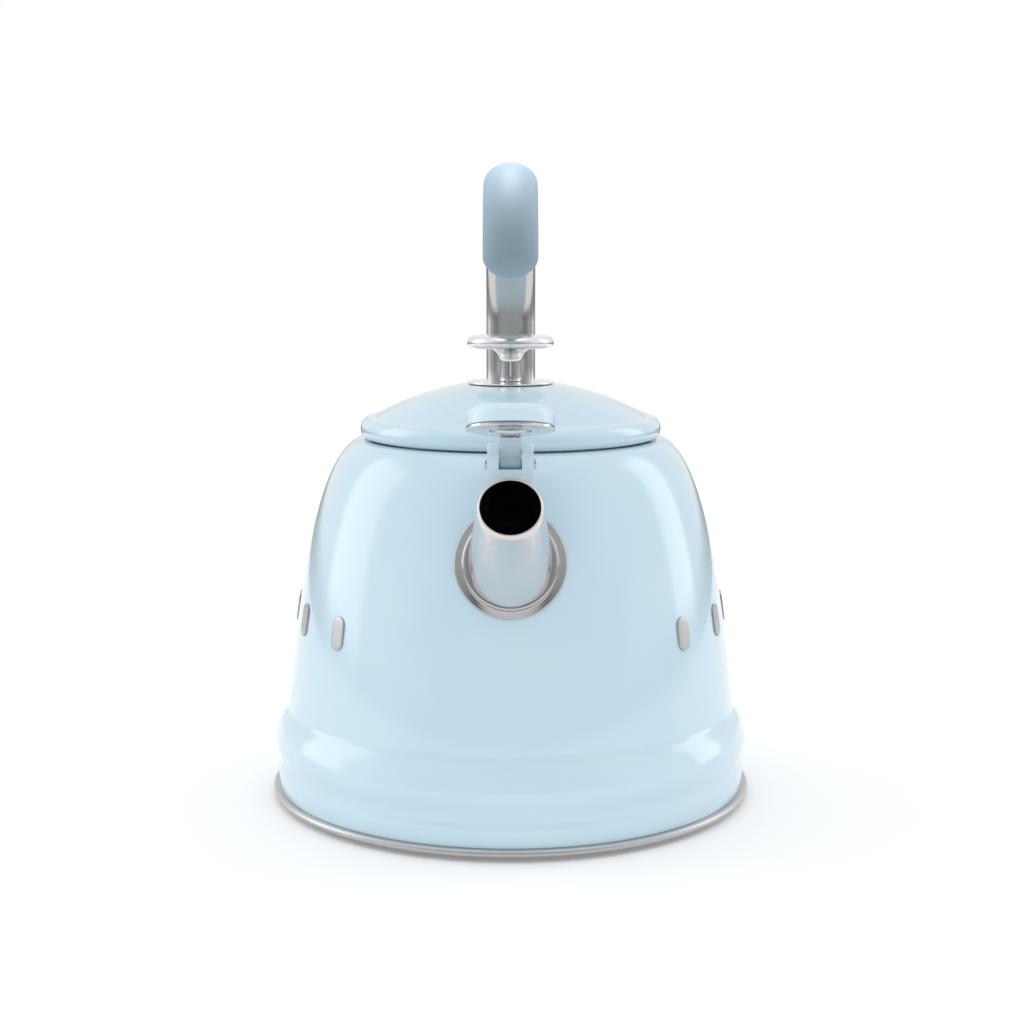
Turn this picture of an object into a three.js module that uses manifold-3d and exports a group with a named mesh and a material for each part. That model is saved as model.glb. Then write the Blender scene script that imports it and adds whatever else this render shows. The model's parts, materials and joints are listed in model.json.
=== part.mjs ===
// Stovetop whistling kettle: an enamelled body on a steel induction base, a lift-off lid with a steel
// knob, a spout with a flip-up whistle, and a one-sided handle that arches over the lid.
// Millimetres, +Z up. The origin is the centre of the base underside, the spout points to -Y and the
// handle rises from +Y.
import * as THREE from "three";
import { mergeVertices } from "three/addons/utils/BufferGeometryUtils.js";
import Module from "manifold-3d";

const wasm = await Module();
wasm.setup();

// ---------- Driving dimensions ----------
const gap = 0.3; // clearance left wherever two pieces touch or one is cut by the other
const roundSegments = 32;
const smallSegments = 20;
const discSegments = 24; // knob, spout and whistle discs

const BODY = {
  wall: 1.2,
  seamRadius: 85.7, // lower edge of the enamelled skirt
  seamHeight: 4.3,
  skirtBulge: 0.35,
  waistInset: 0.3,
  waistRise: 10.3, // waist above the seam
  beadBulge: 1.1,
  beadRise: 6.9, // bead above the waist
  stepInset: 3.44, // where the tapering wall leaves the bead
  stepRise: 28.2,
  neckRadius: 50.7, // clear opening for the lid
  neckDepth: 9.5,
  shoulderWidth: 5.6,
  shoulderHeight: 130.3,
  lipSection: 2,
};
const BASE = {
  sheet: 1.0,
  flangeHeight: 7,
  beadProud: 2.3, // rolled rim outside the skirt
  beadSection: 1.3,
  coreInset: 13.7,
  coreThickness: 1.5,
  plateSheet: 0.9,
};
const LID = {
  wall: 1.2,
  domeRadius: 102.2, // radius of curvature of the dome
  domeStep: 4.43, // foot of the dome above the middle of the rim
  seatRadius: 17, // the dome is flat inside this, under the knob
  rimOverhang: 3.8, // outside the neck
  rimRise: 4.3, // middle of the rim above the shoulder
  rimSection: 3.9,
  rimHalfHeight: 4.1,
  skirtSheet: 0.9,
  skirtDepth: 6.8,
  flangeWidth: 4.7,
  sealThickness: 0.9,
  sealDepth: 4.9,
  sealHeight: 3.2,
};
const KNOB = {
  screwRadius: 1.5,
  screwHeadRadius: 3.2,
  screwHeadHeight: 2.4,
  screwCover: 1.4, // metal left over the end of the screw
  washerRadius: 5,
  washerSheet: 1,
  rosetteRadius: 15.7,
  rosetteSheet: 0.6,
  collarRadius: 3.8,
  collarHeight: 1.2,
  stemRadius: 3.9,
  stemLength: 10.1,
  stemFlare: 8.6,
  discRadius: 15.7,
  discThickness: 4.2,
  discCrown: 0.4,
};
const SPOUT = {
  wall: 0.7,
  elevation: 36, // degrees above level
  mouthRadius: 10.2,
  rootFlare: 4, // radius gained from the mouth to the wall
  length: 39.5, // mouth to wall along the axis
  rootDrop: 33.3, // where the axis meets the wall, below the shoulder
  flangeWidth: 4.3,
  flangeSheet: 0.9,
  stepWidth: 1.7,
  stepSheet: 2.6,
};
const WHISTLE = {
  overhang: 3.6, // outside the mouth
  capHeight: 6.2,
  capWall: 1.6,
  capEdge: 3.2,
  ventRadius: 2,
  plateSheet: 1.0,
  insertInset: 4.0, // insert inside the mouth
  insertDepth: 3.2,
  insertSheet: 0.7,
  toneHole: 1.3,
  chamberDepth: 1.9,
  pivotBehind: 6.93, // hinge behind the mouth, along the spout
  pivotAbove: 9.18, // hinge above the rim of the mouth, square to the spout
  pinRadius: 1.6,
  pinHeadRadius: 2.1,
  pinHeadHeight: 0.7,
  armWidth: 6.6,
  hubRadius: 3.2,
  earThickness: 3.7,
  earRadius: 6.1,
  heel: 1.5, // bracket foot longer than the ears, towards the handle
  bracketDepth: 14,
  slotFloorDrop: 1.5, // the slot's front lip below the pivot
  openAngle: 67.6, // degrees between closed on the mouth and flipped up
  closedGap: 0.6,
  rivetBehind: 12, // bracket rivet behind the mouth
  rivetRadius: 1.5,
  rivetLength: 8,
  rivetHeadRadius: 3,
  rivetHeadHeight: 1.6,
};
const GRIP = {
  width: 18.8,
  thickness: 15,
  rearAngle: 47, // degrees round the rear bend where the grip starts
  noseLength: 7.4,
  screwRadius: 1.5,
  screwHeadRadius: 2.8,
  screwHeadHeight: 1.1,
  screwFloor: 1.6, // grip left under the screw head
  screwAngle: 12, // degrees past the start of the grip
};
const HANDLE = {
  width: 20.3,
  thickness: 10.5,
  sheet: 1.3,
  tangWidth: 13,
  tangThickness: 8.6,
  standOff: 12.3, // centre line of the upright behind the skirt
  saddleDrop: 30.2, // where the foot meets the wall, below the shoulder
  footRadius: 60,
  rearRadius: 52,
  handRoom: 45.6, // grip underside above the knob
  frontReach: 12, // the level top ends this far in front of the body axis
  frontRadius: 30,
  frontSweep: 80,
  tangShort: 25, // degrees of the front bend that the tang leaves to the grip
  saddleWidth: 25,
  saddleHeight: 50,
  saddleSheet: 2.0,
  rivetRadius: 1.9,
  rivetEdge: 6.5, // rivet from the end of the saddle
  rivetHeadRadius: 3.3,
  rivetHeadHeight: 1.5,
};
const MARK = {
  count: 4,
  rise: 36, // above the bead
  firstAzimuth: 49.3, // degrees round from the spout
  pitch: 20,
  width: 6.2,
  tall: 11.6,
  sheet: 0.4,
};

// ---------- Places that follow from the sizes ----------
const stepRadius = BODY.seamRadius - BODY.stepInset;
const stepHeight = BODY.seamHeight + BODY.stepRise;
const shoulderRadius = BODY.neckRadius + BODY.shoulderWidth;
const seamInside = BODY.seamRadius - BODY.wall;

// ---------- Finishes ----------
const finish = (color, roughness, metalness) => () =>
  new THREE.MeshStandardMaterial({ color, roughness, metalness });
const enamel = finish(0xc4dfec, 0.15, 0);
const matteBlue = finish(0xb4d0e2, 0.55, 0);
const plasticBlue = finish(0xb8d8ea, 0.35, 0);
const polished = finish(0xc9c9cb, 0.12, 1);
const brushed = finish(0xb4b4b4, 0.35, 1);
const aluminium = finish(0xa9abae, 0.5, 1);
const silicone = finish(0x30343a, 0.8, 0);

// ---------- Geometry helpers ----------
const radians = THREE.MathUtils.degToRad;
const kettle = new THREE.Group();

function addPiece(name, geometry, material) {
  const mesh = new THREE.Mesh(geometry, material());
  mesh.name = name;
  kettle.add(mesh);
}

// Closed solid of a geometry, for joining and cutting.
function toSolid(geometry) {
  const bare = geometry.clone();
  bare.deleteAttribute("normal");
  bare.deleteAttribute("uv");
  const merged = mergeVertices(bare, 1e-4);
  return new wasm.Manifold(
    new wasm.Mesh({
      numProp: 3,
      vertProperties: merged.attributes.position.array,
      triVerts: new Uint32Array(merged.index.array),
    }),
  );
}

function toGeometry(solid) {
  const mesh = solid.getMesh();
  const geometry = new THREE.BufferGeometry();
  geometry.setAttribute("position", new THREE.BufferAttribute(mesh.vertProperties, 3));
  geometry.setIndex(new THREE.BufferAttribute(mesh.triVerts, 1));
  geometry.computeVertexNormals();
  return geometry;
}

// Solid of revolution about Z from [radius, height] points; a ring's outline closes on itself.
function turned(points, segments = roundSegments) {
  const outline = points.map(([r, z]) => new THREE.Vector2(r, z));
  const onAxis = outline[0].x === 0 && outline.at(-1).x === 0;
  if (THREE.ShapeUtils.area(outline) < 0) outline.reverse();
  if (!onAxis) outline.push(outline[0].clone());
  return new THREE.LatheGeometry(outline, segments).rotateX(Math.PI / 2);
}

// Straight prism of a Y-Z outline, centred on X = 0.
function prismAcross(shape, width) {
  const geometry = new THREE.ExtrudeGeometry(shape, { depth: width, bevelEnabled: false, curveSegments: 10 });
  geometry.translate(0, 0, -width / 2);
  return geometry.applyMatrix4(
    new THREE.Matrix4().makeBasis(
      new THREE.Vector3(0, 1, 0),
      new THREE.Vector3(0, 0, 1),
      new THREE.Vector3(1, 0, 0),
    ),
  );
}

function rod(radius, low, high, segments = smallSegments) {
  return turned([[0, low], [radius, low], [radius, high], [0, high]], segments);
}

// Points moved sideways by a distance, to the left of the direction of travel.
function offsetOutline(points, distance) {
  return points.map(([r, z], i) => {
    const [r0, z0] = points[Math.max(i - 1, 0)];
    const [r1, z1] = points[Math.min(i + 1, points.length - 1)];
    const length = Math.hypot(r1 - r0, z1 - z0);
    return [r - ((z1 - z0) / length) * distance, z + ((r1 - r0) / length) * distance];
  });
}

function arcPoints(centreR, centreZ, radiusR, radiusZ, fromDegrees, toDegrees, steps) {
  return Array.from({ length: steps + 1 }, (_, i) => {
    const a = radians(fromDegrees + ((toDegrees - fromDegrees) * i) / steps);
    return [centreR + radiusR * Math.cos(a), centreZ + radiusZ * Math.sin(a)];
  });
}

const asPairs = (points) => points.map((p) => [p.x, p.y]);

// ---------- Body wall ----------
// Skirt, waist and bead at the foot of the wall, bottom to top.
function skirtOutline() {
  const { seamRadius, seamHeight, beadBulge, stepInset } = BODY;
  const waistHeight = seamHeight + BODY.waistRise;
  const beadHeight = waistHeight + BODY.beadRise;
  const curve = new THREE.SplineCurve([
    new THREE.Vector2(seamRadius, seamHeight),
    new THREE.Vector2(seamRadius + BODY.skirtBulge, seamHeight + BODY.waistRise / 2),
    new THREE.Vector2(seamRadius - BODY.waistInset, waistHeight),
    new THREE.Vector2(seamRadius + beadBulge, beadHeight),
    new THREE.Vector2(seamRadius + (beadBulge - stepInset) / 2 + 0.7, beadHeight * 0.4 + stepHeight * 0.6),
    new THREE.Vector2(stepRadius, stepHeight),
  ]);
  return asPairs(curve.getPoints(10));
}

// Tapering bell wall from the bead to the shoulder.
function bellOutline() {
  const rise = BODY.shoulderHeight - stepHeight;
  const inset = stepRadius - shoulderRadius;
  const curve = new THREE.CubicBezierCurve(
    new THREE.Vector2(stepRadius, stepHeight),
    new THREE.Vector2(stepRadius - inset * 0.17, stepHeight + rise * 0.39),
    new THREE.Vector2(stepRadius - inset * 0.415, stepHeight + rise * 0.909),
    new THREE.Vector2(shoulderRadius, BODY.shoulderHeight),
  );
  return asPairs(curve.getPoints(8));
}

const wallOutline = [...skirtOutline(), ...bellOutline().slice(1)];

// Outer radius of the body wall at a height.
function wallRadius(height) {
  const i = wallOutline.findIndex(([, z]) => z >= height);
  const [r0, z0] = wallOutline[i - 1];
  const [r1, z1] = wallOutline[i];
  return r0 + ((r1 - r0) * (height - z0)) / (z1 - z0);
}

// Degrees that the wall leans inwards at a height.
function wallLean(height) {
  const reach = 6;
  return THREE.MathUtils.radToDeg(
    Math.atan((wallRadius(height - reach) - wallRadius(height + reach)) / (2 * reach)),
  );
}

// Band of revolution that follows the wall between two distances outside it.
function wallBand(inner, outer) {
  const inside = offsetOutline(wallOutline, -inner);
  const outside = offsetOutline(wallOutline, -outer);
  return toSolid(turned([...inside, ...outside.reverse()]));
}

// Everything inside a surface a given distance outside the wall.
function wallCore(outer) {
  const outside = offsetOutline(wallOutline, -outer);
  const low = outside[0][1];
  const high = outside.at(-1)[1];
  return toSolid(turned([[0, low], ...outside, [0, high]]));
}

// Matrix that stands a Z-axis piece on the wall at an azimuth from the spout, at a height.
function onWall(azimuthDegrees, height) {
  const radius = wallRadius(height);
  const lean = radians(wallLean(height));
  return new THREE.Matrix4()
    .makeRotationZ(radians(azimuthDegrees))
    .multiply(new THREE.Matrix4().makeTranslation(0, -radius, height))
    .multiply(new THREE.Matrix4().makeRotationX(Math.PI / 2 - lean));
}

// ---------- Spout frame: +Z leaves the mouth along the spout axis, origin at the mouth ----------
const spoutRoot = BODY.shoulderHeight - SPOUT.rootDrop;
const rootRadius = SPOUT.mouthRadius + SPOUT.rootFlare;
const spoutAngle = radians(SPOUT.elevation);
const mouth = new THREE.Vector3(
  0,
  -wallRadius(spoutRoot) - SPOUT.length * Math.cos(spoutAngle),
  spoutRoot + SPOUT.length * Math.sin(spoutAngle),
);
const spoutFrame = new THREE.Matrix4()
  .makeTranslation(mouth)
  .multiply(new THREE.Matrix4().makeRotationX(Math.PI / 2 - spoutAngle));

// The spout's cone grown by a margin, from below the wall up to a height past the mouth.
function spoutCone(margin, top, overrun) {
  const slope = SPOUT.rootFlare / SPOUT.length;
  const radiusAt = (z) => SPOUT.mouthRadius - slope * z + margin;
  const low = -SPOUT.length - overrun;
  const cone = turned([[0, low], [radiusAt(low), low], [radiusAt(top), top], [0, top]], discSegments);
  return toSolid(cone.applyMatrix4(spoutFrame));
}

// ---------- Whistle frame: built closed on the mouth, then turned up about its pivot ----------
const pivot = new THREE.Vector3(0, SPOUT.mouthRadius + WHISTLE.pivotAbove, -WHISTLE.pivotBehind);
pivot.applyMatrix4(spoutFrame);
const whistleFrame = new THREE.Matrix4()
  .makeTranslation(pivot)
  .multiply(new THREE.Matrix4().makeRotationX(radians(-WHISTLE.openAngle)))
  .multiply(new THREE.Matrix4().makeTranslation(pivot.clone().negate()))
  .multiply(spoutFrame)
  .multiply(new THREE.Matrix4().makeTranslation(0, 0, WHISTLE.closedGap));
const whistleRadius = SPOUT.mouthRadius + WHISTLE.overhang;
const insertRadius = SPOUT.mouthRadius - WHISTLE.insertInset;

function addWhistlePiece(name, solid, material) {
  addPiece(name, toGeometry(solid).applyMatrix4(whistleFrame), material);
}

// ---------- Lid heights, which the knob and the handle stand on ----------
const rimRadius = BODY.neckRadius + LID.rimOverhang;
const rimCentre = rimRadius - LID.rimSection;
const rimHeight = BODY.shoulderHeight + LID.rimRise;
const domeEdge = rimCentre - 1.5;
const domeCentre = rimHeight + LID.domeStep - Math.sqrt(LID.domeRadius ** 2 - domeEdge ** 2);
const domeHeight = (r, inset = 0) => domeCentre + Math.sqrt((LID.domeRadius - inset) ** 2 - r * r);
const seatHeight = domeHeight(LID.seatRadius);
const rosetteTop = seatHeight + gap + KNOB.rosetteSheet;
const collarTop = rosetteTop + gap + KNOB.collarHeight;
const stemTop = collarTop + gap + KNOB.stemLength;
const discLow = stemTop + gap;
const discTop = discLow + KNOB.discThickness;

// ---------- Handle centre line, in the Y-Z plane ----------
const handleTop = discTop + KNOB.discCrown + HANDLE.handRoom + GRIP.thickness / 2;
const uprightTop = handleTop - HANDLE.rearRadius;
const uprightReach = BODY.seamRadius + HANDLE.standOff;
const saddleHeight = BODY.shoulderHeight - HANDLE.saddleDrop;
const footAngle = Math.acos(1 - (uprightReach - wallRadius(saddleHeight)) / HANDLE.footRadius);
const uprightBottom = saddleHeight + HANDLE.footRadius * Math.sin(footAngle);

class HandleLine extends THREE.Curve {
  constructor(path) {
    super();
    this.path = path;
  }
  getPoint(t, target = new THREE.Vector3()) {
    const p = this.path.getPoint(t);
    return target.set(0, p.x, p.y);
  }
}

// Part of the centre line: past the wall by some degrees of foot bend, between two angles of the rear
// bend, and on over the top down to an angle of the front bend.
function handlePath({ foot, rear, front }) {
  const path = new THREE.Path();
  const rearCentre = uprightReach - HANDLE.rearRadius;
  if (foot !== undefined) {
    const start = -footAngle - radians(foot);
    path.absarc(uprightReach - HANDLE.footRadius, uprightBottom, HANDLE.footRadius, start, 0, false);
  }
  path.absarc(rearCentre, uprightTop, HANDLE.rearRadius, radians(rear[0]), radians(rear[1]), false);
  if (front !== undefined) {
    const centre = handleTop - HANDLE.frontRadius;
    path.absarc(-HANDLE.frontReach, centre, HANDLE.frontRadius, Math.PI / 2, radians(90 + front), false);
  }
  return path;
}

// Flattened tube section: flat faces front and back, full round sides.
function stadium(width, thickness) {
  const shape = new THREE.Shape();
  const half = width / 2 - thickness / 2;
  shape.absarc(half, 0, thickness / 2, -Math.PI / 2, Math.PI / 2, false);
  shape.absarc(-half, 0, thickness / 2, Math.PI / 2, (3 * Math.PI) / 2, false);
  return shape;
}

function oval(width, thickness) {
  const shape = new THREE.Shape();
  shape.absellipse(0, 0, width / 2, thickness / 2, 0, Math.PI * 2, false, 0);
  return shape;
}

function sweep(shape, path, steps, curveSegments = 5) {
  return toSolid(
    new THREE.ExtrudeGeometry(shape, {
      extrudePath: new HandleLine(path),
      steps,
      curveSegments,
      bevelEnabled: false,
    }),
  );
}

// ---------- Base ----------
function makeBase() {
  const coreRadius = BODY.seamRadius - BASE.coreInset;
  const coreBottom = BASE.plateSheet + gap;
  const coreTop = coreBottom + BASE.coreThickness;
  const cupInner = coreRadius + gap;
  const cupOuter = cupInner + BASE.plateSheet;
  addPiece(
    "induction_plate",
    turned([
      [0, 0],
      [cupOuter, 0],
      [cupOuter, coreTop],
      [cupInner, coreTop],
      [cupInner, BASE.plateSheet],
      [0, BASE.plateSheet],
    ]),
    brushed,
  );
  addPiece("heat_core", rod(coreRadius, coreBottom, coreTop, roundSegments), aluminium);

  const panBottom = coreTop + gap;
  const panTop = panBottom + BASE.sheet;
  const panFillet = 1;
  const flangeOuter = seamInside - gap;
  const flangeInner = flangeOuter - BASE.sheet;
  const flangeTop = BODY.seamHeight + BASE.flangeHeight;
  const beadCentre = BODY.seamRadius + BASE.beadProud - BASE.beadSection;
  const beadHeight = BODY.seamHeight - gap - BASE.beadSection;
  addPiece(
    "bottom_pan",
    turned([
      [0, panBottom],
      [flangeOuter - BASE.beadSection, panBottom],
      ...arcPoints(beadCentre, beadHeight, BASE.beadSection, BASE.beadSection, -130, 90, 5),
      [flangeOuter, BODY.seamHeight - gap],
      [flangeOuter, flangeTop],
      [flangeInner, flangeTop],
      [flangeInner, panTop + panFillet],
      [flangeInner - panFillet, panTop],
      [0, panTop],
    ]),
    polished,
  );
}

// ---------- Body shell ----------
function makeBody() {
  const { neckRadius, shoulderHeight, lipSection } = BODY;
  const lipHeight = shoulderHeight + 0.5 - lipSection;
  const lip = arcPoints(neckRadius + lipSection, lipHeight, lipSection, lipSection, 75, 180, 5);
  const neckBottom = shoulderHeight - BODY.neckDepth;
  const neckOutside = neckRadius + BODY.wall;
  const roof = shoulderHeight - lipSection; // inner wall ends here, under the lip
  const inner = offsetOutline(wallOutline, BODY.wall).filter(([, z], i) => i > 0 && z < roof);
  const shell = turned([
    ...wallOutline,
    ...lip,
    [neckRadius, neckBottom],
    [neckOutside, neckBottom],
    [neckOutside, roof],
    ...inner.reverse(),
    [seamInside, BODY.seamHeight],
  ]);
  const throughWall = rootRadius;
  const cut = rivetPlaces.reduce(
    (solid, place) => solid.subtract(toSolid(rivetHole().applyMatrix4(place.matrix))),
    toSolid(shell).subtract(spoutCone(gap, 0, throughWall)),
  );
  addPiece("body_shell", toGeometry(cut), enamel);
}

// ---------- Spout ----------
const wallReach = 12; // half length of a cutter that passes through the body wall

function makeSpout() {
  const overrun = 6;
  const tube = spoutCone(0, 0, overrun)
    .subtract(spoutCone(-SPOUT.wall, 1, overrun + 1))
    .subtract(wallCore(-BODY.wall - 2))
    .subtract(toSolid(bracketRivet(gap)));
  addPiece("spout_tube", toGeometry(tube), polished);

  const place = onWall(0, spoutRoot);
  const disc = (radius) => toSolid(rod(radius, -wallReach, wallReach, discSegments).applyMatrix4(place));
  const collar = disc(rootRadius + SPOUT.flangeWidth)
    .intersect(wallBand(gap, gap + SPOUT.flangeSheet))
    .add(disc(rootRadius + SPOUT.stepWidth).intersect(wallBand(gap, gap + SPOUT.stepSheet)))
    .subtract(spoutCone(gap, 0, wallReach));
  addPiece("spout_collar", toGeometry(collar), polished);
}

// ---------- Whistle bracket, pinned whistle ----------
const slotWidth = WHISTLE.armWidth + 2 * gap;
const bracketWidth = slotWidth + 2 * WHISTLE.earThickness;
const pinSegments = 16;

// Shank square to the spout's upper side, through spout wall and bracket.
function bracketRivet(margin) {
  const low = SPOUT.mouthRadius - 2;
  const high = low + WHISTLE.rivetLength + margin;
  return standOnSpout(rod(WHISTLE.rivetRadius + margin, low, high, pinSegments));
}

function standOnSpout(piece) {
  return piece
    .rotateX(-Math.PI / 2)
    .translate(0, 0, -WHISTLE.rivetBehind)
    .applyMatrix4(spoutFrame);
}

// Cylinder along X through the hinge.
function hingeRod(radius, at) {
  const reach = 2 * bracketWidth;
  return rod(radius, -reach, reach, pinSegments).rotateY(Math.PI / 2).translate(0, at.y, at.z);
}

function disc2(centre, radius) {
  const shape = new THREE.Shape();
  shape.absarc(centre.y, centre.z, radius, 0, Math.PI * 2, false);
  return shape;
}

function makeBracket() {
  const ear = WHISTLE.earRadius;
  const bottom = pivot.z - WHISTLE.bracketDepth;
  const block = new THREE.Shape();
  block.moveTo(pivot.y - ear, pivot.z);
  block.absarc(pivot.y, pivot.z, ear, Math.PI, 0, true);
  block.lineTo(pivot.y + ear + WHISTLE.heel, bottom);
  block.lineTo(pivot.y - ear, bottom);
  block.closePath();
  const floor = pivot.z - WHISTLE.slotFloorDrop;
  const reach = 2 * ear;
  const slot = new THREE.Shape();
  slot.moveTo(pivot.y - reach, floor);
  slot.lineTo(pivot.y + reach, floor);
  slot.lineTo(pivot.y + reach, floor + reach);
  slot.lineTo(pivot.y - reach, floor + reach);
  slot.closePath();
  const bracket = toSolid(prismAcross(block, bracketWidth))
    .subtract(toSolid(prismAcross(slot, slotWidth)))
    .subtract(toSolid(prismAcross(disc2(pivot, WHISTLE.hubRadius + 2 * gap), slotWidth)))
    .subtract(toSolid(hingeRod(WHISTLE.pinRadius + gap, pivot)))
    .subtract(spoutCone(gap, 2, 4))
    .subtract(toSolid(bracketRivet(gap)));
  addPiece("whistle_bracket", toGeometry(bracket), plasticBlue);

  const headTop = SPOUT.mouthRadius - 1.6;
  const head = standOnSpout(
    rod(WHISTLE.rivetHeadRadius, headTop - WHISTLE.rivetHeadHeight, headTop, pinSegments),
  );
  addPiece("bracket_rivet", toGeometry(toSolid(bracketRivet(0)).add(toSolid(head))), polished);
}

function makeHingePin() {
  const half = bracketWidth / 2 + gap;
  const end = half + WHISTLE.pinHeadHeight;
  const head = WHISTLE.pinHeadRadius;
  const side = [
    [WHISTLE.pinRadius, half],
    [head, half],
    [head, (half + end) / 2],
    [head * 0.75, end],
    [0, end],
  ];
  const mirrored = side.map(([r, z]) => [r, -z]).reverse();
  const pin = turned([...mirrored, ...side], pinSegments);
  addPiece("hinge_pin", pin.rotateY(Math.PI / 2).translate(0, pivot.y, pivot.z), polished);
}

function makeWhistle() {
  const { capWall, capEdge, plateSheet, insertSheet, toneHole, ventRadius } = WHISTLE;
  const radius = whistleRadius;
  const chamfer = 0.4;
  const ring = (inner, outer, low, high) => [[inner, low], [outer, low], [outer, high], [inner, high]];
  const plate = [
    [insertRadius + gap, 0],
    [radius - chamfer, 0],
    [radius, chamfer],
    [radius, plateSheet],
    [insertRadius + gap, plateSheet],
  ];
  addWhistlePiece("whistle_plate", toSolid(turned(plate, discSegments)), polished);

  // Shallow steel cup with the tone hole, and the second disc that closes the whistle chamber.
  const cupTop = plateSheet + WHISTLE.insertDepth;
  const cupInner = insertRadius - insertSheet;
  const floorTop = 2 * insertSheet;
  const cup = [
    [toneHole, insertSheet],
    [cupInner - gap, insertSheet],
    [cupInner, 0],
    [insertRadius, 0],
    [insertRadius, cupTop],
    [cupInner, cupTop],
    [cupInner, floorTop],
    [toneHole, floorTop],
  ];
  addWhistlePiece("whistle_insert", toSolid(turned(cup, discSegments)), brushed);
  const backLow = insertSheet + WHISTLE.chamberDepth;
  const back = ring(toneHole, cupInner - gap, backLow, backLow + insertSheet);
  addWhistlePiece("whistle_back_disc", toSolid(turned(back, discSegments)), brushed);

  const capLow = plateSheet + gap;
  const capTop = plateSheet + WHISTLE.capHeight;
  const edgeCentre = [radius - capEdge, capTop - capEdge];
  const innerEdge = capEdge - capWall;
  const cap = [
    [ventRadius, capTop],
    ...arcPoints(...edgeCentre, capEdge, capEdge, 90, 0, 5),
    [radius, capLow],
    [radius - capWall, capLow],
    ...arcPoints(...edgeCentre, innerEdge, innerEdge, 0, 90, 3),
    [ventRadius, capTop - capWall],
  ];
  addWhistlePiece("whistle_cap", toSolid(turned(cap, discSegments)), plasticBlue);

  // Arm: a flat bar from the pivot hub to the side of the cap, cut to the cap's round side.
  const hub = pivot.clone().applyMatrix4(new THREE.Matrix4().copy(whistleFrame).invert());
  const end = { y: radius - 1, z: capLow + (WHISTLE.capHeight - capEdge) / 2 };
  const run = new THREE.Vector2(end.y - hub.y, end.z - hub.z);
  const down = new THREE.Vector2(-run.y, run.x).normalize();
  const low = down.clone().multiplyScalar(WHISTLE.slotFloorDrop - gap); // clears the slot floor when shut
  const high = down.clone().multiplyScalar(-WHISTLE.hubRadius);
  const bar = new THREE.Shape();
  bar.moveTo(hub.y + low.x, hub.z + low.y);
  bar.lineTo(end.y + low.x, end.z + low.y);
  bar.lineTo(end.y + high.x, end.z + high.y);
  bar.lineTo(hub.y + high.x, hub.z + high.y);
  bar.closePath();
  const capRoom = rod(radius + gap, -gap, 2 * capTop, discSegments);
  const arm = toSolid(prismAcross(bar, WHISTLE.armWidth))
    .add(toSolid(prismAcross(disc2(hub, WHISTLE.hubRadius), WHISTLE.armWidth)))
    .subtract(toSolid(hingeRod(WHISTLE.pinRadius + gap, hub)))
    .subtract(toSolid(capRoom));
  addWhistlePiece("whistle_arm", arm, plasticBlue);
}

// ---------- Lid ----------
function domePoints(from, to, inset, steps) {
  return Array.from({ length: steps + 1 }, (_, i) => {
    const r = from + ((to - from) * i) / steps;
    return [r, domeHeight(r, inset)];
  });
}

function makeLid() {
  const hole = KNOB.screwRadius + gap;
  const innerSeat = domeHeight(LID.seatRadius, LID.wall);
  const rimInside = rimCentre + 0.8;
  addPiece(
    "lid_shell",
    turned([
      [hole, seatHeight],
      ...domePoints(LID.seatRadius, domeEdge, 0, 5),
      ...arcPoints(rimCentre, rimHeight, LID.rimSection, LID.rimHalfHeight, 96, -50, 7),
      [rimInside, rimHeight - LID.rimHalfHeight * 0.78],
      [rimInside + 0.1, rimHeight],
      ...domePoints(domeEdge - 0.2, LID.seatRadius, LID.wall, 4),
      [hole, innerSeat],
    ]),
    enamel,
  );

  const skirt = BODY.neckRadius - 2 * gap - LID.sealThickness;
  const skirtInside = skirt - LID.skirtSheet;
  const skirtBottom = BODY.shoulderHeight - LID.skirtDepth;
  const skirtTop = domeHeight(skirt, LID.wall) - 2 * gap;
  const flangeEnd = skirt - LID.flangeWidth;
  const flangeTop = domeHeight(flangeEnd, LID.wall) - 2 * gap;
  addPiece(
    "lid_skirt",
    turned([
      [skirtInside, skirtBottom],
      [skirt, skirtBottom],
      [skirt, skirtTop],
      [flangeEnd, flangeTop],
      [flangeEnd, flangeTop - LID.skirtSheet],
      [skirtInside, skirtTop - LID.skirtSheet],
    ]),
    polished,
  );
  const sealInner = skirt + gap;
  const sealOuter = BODY.neckRadius - gap;
  const sealRidge = LID.sealThickness / 2;
  const sealBottom = BODY.shoulderHeight - LID.sealDepth;
  const sealTop = sealBottom + LID.sealHeight;
  addPiece(
    "lid_seal",
    turned([
      [sealInner, sealBottom],
      [sealOuter - sealRidge, sealBottom],
      [sealOuter, (sealBottom + sealTop) / 2],
      [sealOuter - sealRidge, sealTop],
      [sealInner, sealTop],
    ]),
    silicone,
  );
}

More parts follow.
